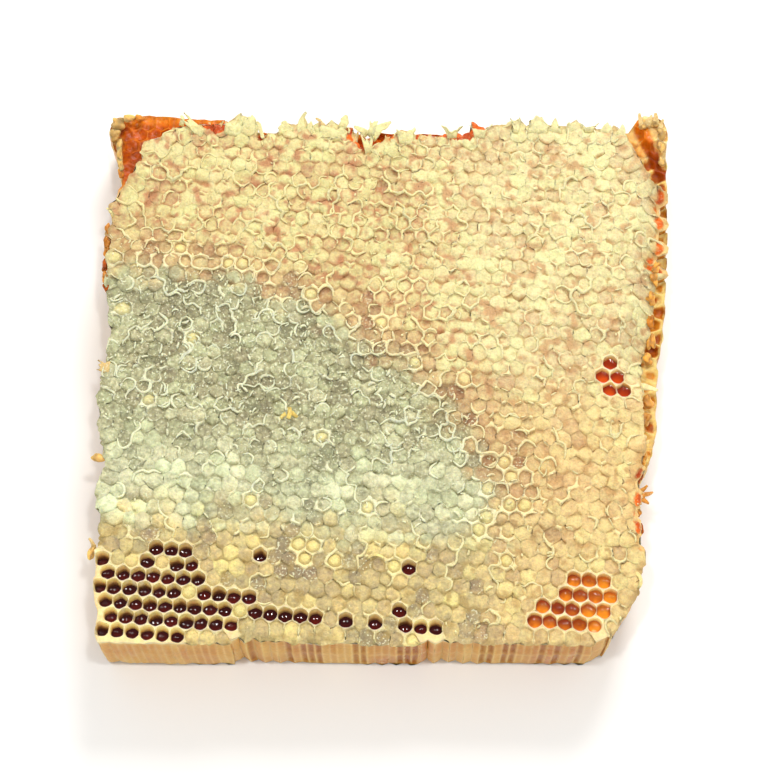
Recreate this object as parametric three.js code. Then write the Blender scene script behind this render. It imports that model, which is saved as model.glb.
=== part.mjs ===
import * as THREE from 'three';

// A slab of capped honeycomb, cut and broken out of its frame, lying on its lower caps.
// Millimetres, +Z up, origin at the centre of the footprint, on the resting face.
// Every cell is a hexagonal prism of one shared lattice: its corners are the means of three
// neighbouring cell centres, so all cells meet corner to corner in one closed solid.

// Lattice of the upper cells
const cellPitch = 5.18;        // from cell to cell along a row
const rowPitch = 4.94;         // from row to row
const latticeTurn = 3.65;      // degrees clockwise, seen from above
const latticeShift = [-1.1, -0.3];
const frontFan = { slope: 0.0185, reach: 54 };     // rows fan out towards the front edge
const frontStretch = { growth: 0.065, reach: 36 }; // and stand further apart there
const cellJitter = 0.42;       // how far a centre strays from the lattice

// Heights over the resting face
const capHeight = 34;
const capSwell = 1.0;          // slow rise and fall of the capped surface
const tornHeight = 24;         // broken cells beside the caps
const tornStep = 1.4;          // and at least this far under the lip
const midribHeight = 17;
const lipDrop = 2.6;           // the overhanging lip of the caps
const honeyDepth = 4.2;        // from the rim of an open cell to its honey
const wellWidth = 0.8;         // a well's width at the honey, as a share of its cell's

// Footprint
const frontEdge = -103.2;
const lipReach = 0.5;          // the torn lip stands out over the walls
const lipInset = 0.55;
const midribOutset = 0.35;
const baseInset = 0.6;
const edgeReach = 2.4;         // how far a corner may be drawn to the outline
const edgePull = 0.88;         // and how much of that way it goes

// Relief of the caps
const dryDome = 0.95;          // pale dry caps stand proud
const wetDome = -0.5;          // soaked caps sink
const flatCap = 0.36;          // a cap with less relief than this has no centre point
const grooveJitter = 0.35;
const ridgeRise = 0.75;        // wandering ridges of wax between soaked cells

// Outlines as [along, across] points, read in straight lines
const capLeft = [[-103, -99.5], [-78, -101.5], [-65, -99.7], [-50, -102.6], [-39, -99.8], [-16, -103.3],
  [11, -99.8], [31, -102.7], [55, -102.3], [66, -100], [81, -92], [104, -92]];
const capRight = [[-103, 75], [-97, 78], [-86, 85.3], [-72, 89], [-60, 87.2], [-44, 87.6], [-34, 91.4],
  [-15, 90.2], [0, 91], [22, 96.6], [51, 100], [68, 101.5], [74, 96], [82, 92.4], [89, 88.5], [104, 88.5]];
const capBack = [[-105, 84], [-94, 84], [-86, 90], [-79, 93], [-57, 96], [-46, 90.2], [-32, 95], [-28, 91],
  [-20, 95], [-7.5, 83.4], [4, 92.5], [15, 89.7], [34, 93.8], [66, 94], [88, 91.5], [105, 91]];
const slabLeft = [[-103, -99.5], [-78, -101.5], [-65, -99.7], [-50, -102.6], [-39, -99.8], [-16, -103.3],
  [11, -99.8], [31, -102.7], [55, -103.5], [66, -102], [76, -100.5], [86, -102], [94, -104.8], [104, -104.8]];
const slabRight = [[-103, 75], [-97, 78], [-86, 85.3], [-72, 89], [-60, 87.6], [-44, 88.6], [-36, 92.4],
  [-25, 96], [-5, 97], [22, 101], [50, 103.2], [104, 104.6]];
const slabBack = [[-105, 101.5], [-92, 103], [-62, 100.6], [-50, 96], [84, 93.5], [91.5, 96], [94.5, 100.8],
  [100, 100], [105, 96]];

// Soaked zone of sunken caps: an ellipse with a broad soft edge
const wetZone = { centre: [-84, -46], radii: [132, 84], turn: -13, edge: 0.16 };

// The right flank, where the capped surface bends down
const flank = { from: -4, to: 62, width: 11, drop: 7 };

// The pale chunk left standing in the far right corner
const chunk = { centre: [100, 95], radius: 9, rise: 5 };

// Open cells: single ones by their place, and runs from a first to a last cell
const openSingles = [
  [-99, -73.5], [-84, -74.5], [-12.5, -95.8], [-4.6, -95.7],
  [-46, -72.6], [6.7, -73.9], [5.3, -92.7], [78.5, -1.7]
];
const openRuns = [
  [[-81, -70.2], [-71, -70.7]], [[-73.9, -75.3], [-68.7, -76.7]], [[-97, -78.3], [-66.5, -81]],
  [[-99.7, -83.1], [-74.3, -85.3]], [[-64.3, -86], [-49.1, -87.4]], [[-97.4, -88.3], [-56.2, -91.6]],
  [[-45.8, -92.4], [-25, -94.2]], [[-95.3, -93.5], [-53.8, -96.8]], [[-98.3, -98.4], [-72.4, -100.7]],
  [[5.7, -96.7], [16.3, -97.4]], [[75.8, -7], [81, -6.3]], [[78, -11.2], [83.2, -10.4]],
  [[63.7, -82.1], [73.7, -82.1]], [[61.1, -86.4], [76.1, -87.4]], [[53.5, -90.3], [73.7, -92.7]],
  [[50.6, -94.8], [70.8, -97]]
];

// Torn flakes of wax along the broken edges: [x, y] of the nearest corner, how far out, how far up
const flakes = [
  [-82, 95, 3.5, 1.5], [-76, 97, 3, 1.2], [-60, 97, 3.2, 1.5], [-53, 96, 3.4, 1.8], [-32, 96, 3.5, 1.5],
  [-24, 96, 3.6, 2], [-19, 95.5, 2.5, 1], [-9, 92, 4.5, 2.2], [-3, 91, 3, 1.6], [4, 94, 3.4, 1.8],
  [10, 92, 2.4, 1], [22, 92, 2.6, 1.2], [28, 94, 3, 1.4], [47, 95, 3.2, 1.4], [56, 96, 2.6, 1.2],
  [68, 95, 3.2, 1.5], [78, 95, 3, 1.4], [-104, -1, 3, 0.4], [-103, -34, 3.4, 0.6], [-103, -70, 3, 0.5],
  [92, -6, 3.2, -0.5], [90, -48, 3.4, -0.5], [102, 62, 1.6, -2]
];

const radians = THREE.MathUtils.degToRad;
const smooth = (low, high, value) => THREE.MathUtils.smoothstep(value, low, high);

// Repeatable draw between 0 and 1 for a cell or a place
function draw(a, b, c) {
  const wave = Math.sin(a * 12.9898 + b * 78.233 + c * 37.719) * 43758.5453;
  return wave - Math.floor(wave);
}

function along(line, t) {
  if (t <= line[0][0]) return line[0][1];
  for (let i = 1; i < line.length; i += 1) {
    const [from, to] = [line[i - 1], line[i]];
    if (t <= to[0]) return from[1] + (to[1] - from[1]) * (t - from[0]) / (to[0] - from[0]);
  }
  return line[line.length - 1][1];
}

function cellCentre(col, row) {
  const u = (col + 0.5 * Math.abs(row % 2)) * cellPitch;
  const v = row * rowPitch;
  const turn = radians(latticeTurn);
  const x = u * Math.cos(turn) + v * Math.sin(turn) + latticeShift[0];
  const y = v * Math.cos(turn) - u * Math.sin(turn) + latticeShift[1];
  const fan = frontFan.slope * x * Math.exp(-(y - frontEdge) / frontFan.reach);
  const stretch = frontStretch.growth * frontStretch.reach * Math.exp(-(y - frontEdge) / frontStretch.reach);
  return [
    x + cellJitter * (draw(col, row, 1) - 0.5),
    y - fan - stretch + cellJitter * (draw(col, row, 2) - 0.5)
  ];
}

// How far inside an outline a point is; negative outside
function depthInside(x, y, left, right, back) {
  return Math.min(x - along(left, y), along(right, y) - x, along(back, x) - y, y - frontEdge);
}
const capDepth = (x, y) => depthInside(x, y, capLeft, capRight, capBack);
const slabDepth = (x, y) => depthInside(x, y, slabLeft, slabRight, slabBack);

function wetness(x, y) {
  const turn = radians(wetZone.turn);
  const [dx, dy] = [x - wetZone.centre[0], y - wetZone.centre[1]];
  const u = (dx * Math.cos(turn) + dy * Math.sin(turn)) / wetZone.radii[0];
  const v = (dy * Math.cos(turn) - dx * Math.sin(turn)) / wetZone.radii[1];
  return 1 - smooth(1 - wetZone.edge, 1 + wetZone.edge, Math.hypot(u, v));
}

function capZ(x, y) {
  const slowWave = Math.sin(x / 41 + 0.6) * Math.cos(y / 37 - 0.4);
  const quickWave = Math.sin(x / 17 - y / 23);
  const swell = capSwell * (slowWave + 0.4 * quickWave);
  const alongFlank = smooth(flank.from - 12, flank.from + 6, y) * (1 - smooth(flank.to, flank.to + 14, y));
  const acrossFlank = smooth(-flank.width, 0, x - along(capRight, y));
  return capHeight + swell - flank.drop * alongFlank * acrossFlank;
}

function tornZ(x, y) {
  const onChunk = 1 - smooth(0.6, 1.1, Math.hypot(x - chunk.centre[0], y - chunk.centre[1]) / chunk.radius);
  return tornHeight + chunk.rise * onChunk + 0.8 * Math.sin(x / 3.1) * Math.sin(y / 2.7);
}

// Cells
const reachCols = 26;
const reachRows = 27;
const cellId = (col, row) => `${col},${row}`;
const cells = new Map();
const openDistance = 0.5 * cellPitch;

function distanceToLine(x, y, start, end) {
  const [dx, dy] = [end[0] - start[0], end[1] - start[1]];
  const share = ((x - start[0]) * dx + (y - start[1]) * dy) / (dx * dx + dy * dy);
  const t = THREE.MathUtils.clamp(share, 0, 1);
  return Math.hypot(x - start[0] - t * dx, y - start[1] - t * dy);
}

function isOpen(x, y) {
  const single = openSingles.some(([px, py]) => Math.hypot(px - x, py - y) < openDistance);
  return single || openRuns.some(([start, end]) => distanceToLine(x, y, start, end) < openDistance);
}

for (let row = -reachRows; row <= reachRows; row += 1) {
  for (let col = -reachCols; col <= reachCols; col += 1) {
    const [x, y] = cellCentre(col, row);
    let kind = null;
    if (capDepth(x, y) > 0.9) kind = isOpen(x, y) ? 'open' : 'capped';
    else if (slabDepth(x, y) > 0.9) kind = 'torn';
    if (kind) cells.set(cellId(col, row), { col, row, x, y, kind });
  }
}

// The six neighbours of a cell, anticlockwise from +X
function neighbours(col, row) {
  const shift = Math.abs(row % 2);
  return [[col + 1, row], [col + shift, row + 1], [col + shift - 1, row + 1],
    [col - 1, row], [col + shift - 1, row - 1], [col + shift, row - 1]];
}

// Drop a cell that hangs on by one side or none, so the outline has no thin tabs
for (let pass = 0; pass < 3; pass += 1) {
  for (const [id, cell] of cells) {
    const joined = neighbours(cell.col, cell.row).filter(([c, r]) => cells.has(cellId(c, r)));
    if (joined.length < 2) cells.delete(id);
  }
}

// Vertices and triangles of the one solid
const positions = [];
const triangles = [];
function addVertex(x, y, z) {
  positions.push(x, y, z);
  return positions.length / 3 - 1;
}
const heightOf = (index) => positions[index * 3 + 2];

// A corner belongs to three cells. It has one vertex for each level that meets it.
const corners = new Map();

function drawToOutline(x, y, depthAt) {
  const depth = depthAt(x, y);
  const step = 0.5;
  const slopeX = (depthAt(x + step, y) - depthAt(x - step, y)) / (2 * step);
  const slopeY = (depthAt(x, y + step) - depthAt(x, y - step)) / (2 * step);
  const steepness = Math.max(0.5, slopeX * slopeX + slopeY * slopeY);
  const move = THREE.MathUtils.clamp(depth / steepness, -edgeReach, edgeReach);
  return [x - slopeX * move, y - slopeY * move];
}

function flakeAt(x, y) {
  return flakes.find(([fx, fy]) => Math.hypot(fx - x, fy - y) < 0.62 * cellPitch);
}

function cornerOf(three) {
  const key = three.map(([c, r]) => cellId(c, r)).sort().join('|');
  if (corners.has(key)) return corners.get(key);
  const centres = three.map(([c, r]) => cellCentre(c, r));
  const x = (centres[0][0] + centres[1][0] + centres[2][0]) / 3;
  const y = (centres[0][1] + centres[1][1] + centres[2][1]) / 3;
  const inside = three.map(([c, r]) => cells.get(cellId(c, r))).filter(Boolean);
  const atCap = inside.some((cell) => cell.kind !== 'torn');
  const atTorn = inside.some((cell) => cell.kind === 'torn');
  const atOutside = inside.length < 3;

  const meanX = inside.reduce((sum, cell) => sum + cell.x, 0) / inside.length;
  const meanY = inside.reduce((sum, cell) => sum + cell.y, 0) / inside.length;
  const away = new THREE.Vector2(x - meanX, y - meanY);
  if (atOutside) away.normalize();
  else away.set(0, 0);

  const jitter = (c) => draw(Math.round(x * 10), Math.round(y * 10), c) - 0.5;
  const besideTorn = atCap && atTorn;
  const outline = atOutside && atTorn ? slabDepth : capDepth;
  const [edgeX, edgeY] = atOutside || besideTorn ? drawToOutline(x, y, outline) : [x, y];
  const outX = x + (edgeX - x) * edgePull;
  const outY = y + (edgeY - y) * edgePull;

  const corner = { place: [outX, outY], levels: {} };
  if (atCap) {
    const wet = wetness(x, y);
    const ridge = wet * ridgeRise * Math.max(0, jitter(5)) * 2;
    let z = capZ(x, y) + grooveJitter * jitter(4) * 2 + ridge;
    let reach = atOutside ? lipReach * (1 + 1.8 * jitter(6)) : 0;
    const flake = atOutside && flakeAt(x, y);
    if (flake) {
      reach += flake[2];
      z += flake[3];
    }
    corner.levels.cap = addVertex(outX + away.x * reach, outY + away.y * reach, z);
    if (atOutside || atTorn) {
      const besideWell = inside.some((cell) => cell.kind === 'open');
      const inset = besideWell ? 0 : lipInset * (1 + 0.8 * jitter(7));
      const lipZ = z - lipDrop * (1 + 0.3 * jitter(8));
      corner.levels.lip = addVertex(outX - away.x * inset, outY - away.y * inset, lipZ);
    }
  }
  if (atTorn) {
    const highest = atCap ? heightOf(corner.levels.lip) - tornStep : capHeight;
    corner.levels.torn = addVertex(outX, outY, Math.min(highest, tornZ(x, y) + 0.9 * jitter(9)));
  }
  if (atOutside) {
    const outset = midribOutset * (1 + jitter(10));
    const midZ = midribHeight + 0.8 * jitter(11);
    corner.levels.mid = addVertex(outX + away.x * outset, outY + away.y * outset, midZ);
    const inset = baseInset * (1 + jitter(14));
    corner.levels.base = addVertex(outX - away.x * inset, outY - away.y * inset, 0);
  }
  corners.set(key, corner);
  return corner;
}

// Corner k lies between neighbours k and k + 1, so the six run anticlockwise
function cornersOf(cell) {
  const around = neighbours(cell.col, cell.row);
  return around.map((next, k) => cornerOf([[cell.col, cell.row], next, around[(k + 1) % 6]]));
}

// Shapes of the three kinds of cell
function addCap(cell, ring) {
  const wet = wetness(cell.x, cell.y);
  const dome = THREE.MathUtils.lerp(dryDome, wetDome, wet) * (0.45 + 0.9 * draw(cell.col, cell.row, 3));
  if (Math.abs(dome) < flatCap) {
    for (let k = 1; k < 5; k += 1) triangles.push(ring[0], ring[k], ring[k + 1]);
    return;
  }
  const centre = addVertex(cell.x, cell.y, ring.reduce((sum, v) => sum + heightOf(v), 0) / 6 + dome);
  for (let k = 0; k < 6; k += 1) triangles.push(centre, ring[k], ring[(k + 1) % 6]);
}

function addWell(cell, ring, ringCorners) {
  const rim = ring.reduce((sum, v) => sum + heightOf(v), 0) / 6;
  const level = rim - honeyDepth * (0.8 + 0.4 * draw(cell.col, cell.row, 4));
  const inner = ringCorners.map(({ place: [x, y] }) => addVertex(
    THREE.MathUtils.lerp(cell.x, x, wellWidth),
    THREE.MathUtils.lerp(cell.y, y, wellWidth),
    level
  ));
  for (let k = 0; k < 6; k += 1) {
    const next = (k + 1) % 6;
    triangles.push(ring[k], ring[next], inner[next], ring[k], inner[next], inner[k]);
  }
  for (let k = 1; k < 5; k += 1) triangles.push(inner[0], inner[k], inner[k + 1]);
}

function addTornCell(cell, ring) {
  const dip = 0.8 + 1.6 * draw(cell.col, cell.row, 5);
  const centre = addVertex(cell.x, cell.y, ring.reduce((sum, v) => sum + heightOf(v), 0) / 6 - dip);
  for (let k = 0; k < 6; k += 1) triangles.push(centre, ring[k], ring[(k + 1) % 6]);
}

// A wall between two corners, each given as its vertices from the top down
function addWall(first, second) {
  let [i, j] = [0, 0];
  while (i < first.length - 1 || j < second.length - 1) {
    const firstNext = i < first.length - 1 ? heightOf(first[i + 1]) : -Infinity;
    const secondNext = j < second.length - 1 ? heightOf(second[j + 1]) : -Infinity;
    if (firstNext >= secondNext) {
      triangles.push(first[i], first[i + 1], second[j]);
      i += 1;
    } else {
      triangles.push(first[i], second[j + 1], second[j]);
      j += 1;
    }
  }
}

const levelOrder = ['cap', 'lip', 'torn', 'mid', 'base'];
function column(corner, from, to) {
  const names = levelOrder.slice(levelOrder.indexOf(from), levelOrder.indexOf(to) + 1);
  return names.filter((name) => name in corner.levels).map((name) => corner.levels[name]);
}

const rimNext = new Map(); // base vertex to the next one anticlockwise
const shapeOf = { capped: addCap, open: addWell, torn: addTornCell };

for (const cell of cells.values()) {
  const ringCorners = cornersOf(cell);
  const top = cell.kind === 'torn' ? 'torn' : 'cap';
  shapeOf[cell.kind](cell, ringCorners.map((corner) => corner.levels[top]), ringCorners);

  neighbours(cell.col, cell.row).forEach(([c, r], k) => {
    const beyond = cells.get(cellId(c, r));
    const first = ringCorners[(k + 5) % 6];
    const second = ringCorners[k];
    if (!beyond) {
      addWall(column(first, top, 'base'), column(second, top, 'base'));
      rimNext.set(first.levels.base, second.levels.base);
    } else if (top === 'cap' && beyond.kind === 'torn') {
      addWall(column(first, 'cap', 'torn'), column(second, 'cap', 'torn'));
    }
  });
}

// The flat resting face closes the slab below
const rim = [rimNext.keys().next().value];
while (rimNext.get(rim[rim.length - 1]) !== rim[0]) rim.push(rimNext.get(rim[rim.length - 1]));
const rimPoints = rim.map((v) => new THREE.Vector2(positions[v * 3], positions[v * 3 + 1]));
for (const [a, b, c] of THREE.ShapeUtils.triangulateShape(rimPoints, [])) {
  triangles.push(rim[a], rim[c], rim[b]);
}

const geometry = new THREE.BufferGeometry();
geometry.setAttribute('position', new THREE.Float32BufferAttribute(positions, 3));
geometry.setIndex(triangles);
geometry.computeVertexNormals();

const wax = new THREE.MeshStandardMaterial({ color: '#e6d6a0', roughness: 0.55, metalness: 0 });
const comb = new THREE.Mesh(geometry, wax);
comb.name = 'comb';

const honeycomb = new THREE.Group();
honeycomb.add(comb);

export default honeycomb;
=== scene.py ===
import math

import bpy
import numpy as np
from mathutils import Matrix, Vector


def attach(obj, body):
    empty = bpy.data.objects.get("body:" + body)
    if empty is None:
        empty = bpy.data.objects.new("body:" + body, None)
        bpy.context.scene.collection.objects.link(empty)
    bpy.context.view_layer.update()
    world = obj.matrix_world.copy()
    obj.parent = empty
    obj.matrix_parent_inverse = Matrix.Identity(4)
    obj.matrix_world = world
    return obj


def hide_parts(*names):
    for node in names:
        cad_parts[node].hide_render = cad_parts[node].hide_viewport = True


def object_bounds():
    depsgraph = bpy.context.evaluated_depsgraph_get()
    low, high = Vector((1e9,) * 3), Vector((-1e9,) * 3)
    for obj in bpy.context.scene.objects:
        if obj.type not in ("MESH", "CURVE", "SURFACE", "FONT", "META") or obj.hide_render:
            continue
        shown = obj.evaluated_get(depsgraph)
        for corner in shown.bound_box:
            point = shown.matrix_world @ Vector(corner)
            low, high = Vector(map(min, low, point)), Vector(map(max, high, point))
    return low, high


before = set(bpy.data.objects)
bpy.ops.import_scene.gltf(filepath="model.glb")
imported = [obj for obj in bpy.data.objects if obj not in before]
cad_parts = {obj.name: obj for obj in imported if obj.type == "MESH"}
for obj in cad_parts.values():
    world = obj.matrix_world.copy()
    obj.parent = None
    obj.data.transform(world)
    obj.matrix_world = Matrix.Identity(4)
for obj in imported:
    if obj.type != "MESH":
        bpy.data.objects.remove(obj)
cadLow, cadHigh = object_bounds()
print("frame loaded")

# Lengths are in millimetres until a mesh is made.
mm = 0.001

# The lattice of cells is the one that the comb itself was built on.
lattice = {
    "cellPitch": 5.18, "rowPitch": 4.94, "turn": 3.65, "shift": (-1.1, -0.3), "jitter": 0.42,
    "fanSlope": 0.0185, "fanReach": 54, "stretchGrowth": 0.065, "stretchReach": 36,
    "columns": 26, "rows": 27,
}
slab = {
    "front": -103.2, "capHeight": 34, "swell": 1.0, "tornHeight": 24, "tornStep": 1.4, "midrib": 17,
    "lipDrop": 2.6, "lipReach": 0.5, "lipInset": 0.55, "midOutset": 0.35, "baseInset": 0.6,
    "edgeReach": 2.4, "edgePull": 0.88, "edgeDepth": 0.9, "stray": 1.7, "strayAtWell": 0.7,
}
outline = {
    "capLeft": [(-103, -99.5), (-78, -101.5), (-65, -99.7), (-50, -102.6), (-39, -99.8), (-16, -103.3),
                (11, -99.8), (31, -102.7), (55, -102.3), (66, -100), (81, -92), (104, -92)],
    "capRight": [(-103, 75), (-97, 78), (-86, 85.3), (-72, 89), (-60, 87.2), (-44, 87.6), (-34, 91.4),
                 (-15, 90.2), (0, 91), (22, 96.6), (51, 100), (68, 101.5), (74, 96), (82, 92.4),
                 (89, 88.5), (104, 88.5)],
    "capBack": [(-105, 84), (-94, 84), (-86, 90), (-79, 93), (-57, 96), (-46, 90.2), (-32, 95), (-28, 91),
                (-20, 95), (-7.5, 83.4), (4, 92.5), (15, 89.7), (34, 93.8), (66, 94), (88, 91.5), (105, 91)],
    "slabLeft": [(-103, -99.5), (-78, -101.5), (-65, -99.7), (-50, -102.6), (-39, -99.8), (-16, -103.3),
                 (11, -99.8), (31, -102.7), (55, -103.5), (66, -102), (76, -100.5), (86, -102), (94, -104.8),
                 (104, -104.8)],
    "slabRight": [(-103, 75), (-97, 78), (-86, 85.3), (-72, 89), (-60, 87.6), (-44, 88.6), (-36, 92.4),
                  (-25, 96), (-5, 97), (22, 101), (50, 103.2), (104, 104.6)],
    "slabBack": [(-105, 101.5), (-92, 103), (-62, 100.6), (-50, 96), (84, 93.5), (91.5, 96),
                 (94.5, 100.8), (100, 100), (105, 96)],
}
wetZone = {"centre": (-84, -46), "radii": (132, 84), "turn": -13}
# Where the cappings are torn off short of the edge: their limit by x along the back, by y along the right
tornEdge = {
    "back": [(-71, 110), (-69.4, 93.8), (-68, 92.8), (-64.6, 91), (-60.8, 91.4), (-60, 110), (-49.6, 110),
             (-48.6, 88.4), (-47.4, 87.4), (-45, 90.4), (-43, 91.4), (-42, 110), (-17.4, 110), (-16, 88.6),
             (-13, 86.4), (-10.6, 84.8), (-7.7, 83), (-5.4, 85.8), (-3.2, 87.6), (0.5, 88.4), (2.6, 90.4),
             (3.8, 92.2), (4.6, 110), (9.2, 110), (10, 88), (13, 88), (15.4, 89.8), (22.8, 88.4), (30, 88.6),
             (36, 90.2), (37.6, 110)],
    "right": [(-74, 110), (-70, 87.4), (-62, 86), (-50, 86.2), (-44, 86.8), (-38, 89.8), (-32, 91),
              (-29, 110), (36, 110), (38, 93.8), (41, 94.6), (43, 97), (46, 98.8), (63, 99), (70, 101),
              (72, 110)],
    "drop": 1.6, "ragged": 0.8, "honey": "#EC6E1A", "deep": "#B8460C", "web": "#E8C07C", "tan": "#CDA262",
}
flank = {"from": -4, "to": 62, "ease": 12, "width": 11, "drop": 7}  # where the caps slope down at the right
chunk = {"centre": (100, 95), "radius": 9, "rise": 5}
openCells = {
    "singles": [(-99, -73.5), (-84, -74.5), (-12.5, -95.8), (-4.6, -95.7), (-46, -72.6), (6.7, -73.9),
                (5.3, -92.7), (78.5, -1.7)],
    "runs": [((-81, -70.2), (-71, -70.7)), ((-73.9, -75.3), (-68.7, -76.7)), ((-97, -78.3), (-66.5, -81)),
             ((-99.7, -83.1), (-74.3, -85.3)), ((-64.3, -86), (-49.1, -87.4)),
             ((-97.4, -88.3), (-56.2, -91.6)), ((-45.8, -92.4), (-25, -94.2)),
             ((-95.3, -93.5), (-53.8, -96.8)), ((-98.3, -98.4), (-72.4, -100.7)),
             ((5.7, -96.7), (16.3, -97.4)), ((75.8, -7), (81, -6.3)), ((78, -11.2), (83.2, -10.4)),
             ((63.7, -82.1), (73.7, -82.1)), ((61.1, -86.4), (76.1, -87.4)), ((53.5, -90.3), (73.7, -92.7)),
             ((50.6, -94.8), (70.8, -97))],
    "within": 0.5,
}
# Torn corners of the lip: place, how far out, how far up
tornCorners = [
    (-82, 95, 3.5, 1.5), (-76, 97, 3, 1.2), (-60, 97, 3.2, 1.5), (-53, 96, 3.4, 1.8), (-32, 96, 3.5, 1.5),
    (-24, 96, 3.6, 2), (-19, 95.5, 2.5, 1), (-9, 92, 4.5, 2.2), (-3, 91, 3, 1.6), (4, 94, 3.4, 1.8),
    (10, 92, 2.4, 1), (22, 92, 2.6, 1.2), (28, 94, 3, 1.4), (47, 95, 3.2, 1.4), (56, 96, 2.6, 1.2),
    (68, 95, 3.2, 1.5), (78, 95, 3, 1.4), (-104, -1, 3, 0.4), (-103, -34, 3.4, 0.6), (-103, -70, 3, 0.5),
    (92, -6, 3.2, -0.5), (90, -48, 3.4, -0.5), (102, 62, 1.6, -2),
]


def draw(a, b, c):
    wave = math.sin(a * 12.9898 + b * 78.233 + c * 37.719) * 43758.5453
    return wave - math.floor(wave)


def smooth(low, high, value):
    t = np.clip((value - low) / (high - low), 0, 1)
    return t * t * (3 - 2 * t)


def along(line, t):
    return np.interp(t, [p[0] for p in line], [p[1] for p in line])


# Soft noise between -1 and 1, the same on every run
def speckle(x, y, size, seed):
    u, v = x / size + seed * 17.31, y / size + seed * 9.17
    i, j = np.floor(u), np.floor(v)
    s, t = u - i, v - j
    s, t = s * s * (3 - 2 * s), t * t * (3 - 2 * t)

    def at(di, dj):
        wave = np.sin((i + di) * 12.9898 + (j + dj) * 78.233 + seed * 37.719) * 43758.5453
        return wave - np.floor(wave)

    low, high = at(0, 0) * (1 - s) + at(1, 0) * s, at(0, 1) * (1 - s) + at(1, 1) * s
    return 2 * (low * (1 - t) + high * t) - 1


def cellCentre(col, row):
    s = lattice
    u = (col + 0.5 * (row % 2)) * s["cellPitch"]
    v = row * s["rowPitch"]
    turn = math.radians(s["turn"])
    x = u * math.cos(turn) + v * math.sin(turn) + s["shift"][0]
    y = v * math.cos(turn) - u * math.sin(turn) + s["shift"][1]
    fan = s["fanSlope"] * x * math.exp(-(y - slab["front"]) / s["fanReach"])
    stretch = s["stretchGrowth"] * s["stretchReach"] * math.exp(-(y - slab["front"]) / s["stretchReach"])
    x += s["jitter"] * (draw(col, row, 1) - 0.5)
    y += s["jitter"] * (draw(col, row, 2) - 0.5) - fan - stretch
    return x, y


def depthInside(x, y, part):
    return min(x - along(outline[part + "Left"], y), along(outline[part + "Right"], y) - x,
               along(outline[part + "Back"], x) - y, y - slab["front"])


def tornShare(x, y):
    uneven = tornEdge["ragged"] * speckle(x, y, 2.2, 98) + 0.5 * tornEdge["ragged"] * speckle(x, y, 1.0, 99)
    beyond = np.maximum(y - along(tornEdge["back"], x), x - along(tornEdge["right"], y))
    return smooth(-0.3, 0.4, beyond + uneven)


def capZ(x, y):
    slowWave = np.sin(x / 41 + 0.6) * np.cos(y / 37 - 0.4)
    swell = slab["swell"] * (slowWave + 0.4 * np.sin(x / 17 - y / 23))
    sag = flank["drop"] * smooth(-flank["width"], 0, x - along(outline["capRight"], y))
    sag *= smooth(flank["from"] - flank["ease"], flank["from"] + 0.5 * flank["ease"], y)
    sag *= 1 - smooth(flank["to"], flank["to"] + 1.2 * flank["ease"], y)
    return slab["capHeight"] + swell - sag - tornEdge["drop"] * tornShare(x, y)


def fromChunk(x, y):
    return np.hypot(x - chunk["centre"][0], y - chunk["centre"][1]) / chunk["radius"]


def tornZ(x, y):
    rise = chunk["rise"] * (1 - smooth(0.6, 1.1, fromChunk(x, y)))
    return slab["tornHeight"] + rise + 0.8 * np.sin(x / 3.1) * np.sin(y / 2.7)


def toLine(x, y, start, end):
    dx, dy = end[0] - start[0], end[1] - start[1]
    t = max(0, min(1, ((x - start[0]) * dx + (y - start[1]) * dy) / (dx * dx + dy * dy)))
    return math.hypot(x - start[0] - t * dx, y - start[1] - t * dy)


def isOpen(x, y):
    reach = openCells["within"] * lattice["cellPitch"]
    bySingle = any(math.dist((x, y), place) < reach for place in openCells["singles"])
    return bySingle or any(toLine(x, y, *run) < reach for run in openCells["runs"])


def neighbours(col, row):
    odd = row % 2
    return [(col + 1, row), (col + odd, row + 1), (col + odd - 1, row + 1),
            (col - 1, row), (col + odd - 1, row - 1), (col + odd, row - 1)]


def layCells():
    found = {}
    for row in range(-lattice["rows"], lattice["rows"] + 1):
        for col in range(-lattice["columns"], lattice["columns"] + 1):
            x, y = cellCentre(col, row)
            kind = None
            if depthInside(x, y, "cap") > slab["edgeDepth"]:
                kind = "open" if isOpen(x, y) else "capped"
            elif depthInside(x, y, "slab") > slab["edgeDepth"]:
                kind = "torn"
            if kind:
                found[col, row] = {"id": (col, row), "x": x, "y": y, "kind": kind}
    for _ in range(3):
        for key in [k for k in found if sum(n in found for n in neighbours(*k)) < 2]:
            del found[key]
    return found


cells = layCells()
print("cells laid:", len(cells))

# Corners and edges between cells. Each corner knows its place at every level.
corners, cornerIds, edges = [], {}, {}


def drawnToOutline(x, y, part):
    step = 0.5
    depth = depthInside(x, y, part)
    slopeX = (depthInside(x + step, y, part) - depthInside(x - step, y, part)) / (2 * step)
    slopeY = (depthInside(x, y + step, part) - depthInside(x, y - step, part)) / (2 * step)
    move = depth / max(0.5, slopeX ** 2 + slopeY ** 2)
    move = max(-slab["edgeReach"], min(slab["edgeReach"], move))
    return x - slopeX * move, y - slopeY * move


def tornCornerAt(x, y):
    near = 0.62 * lattice["cellPitch"]
    return next(((out, up) for fx, fy, out, up in tornCorners if math.dist((x, y), (fx, fy)) < near), (0, 0))


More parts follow.
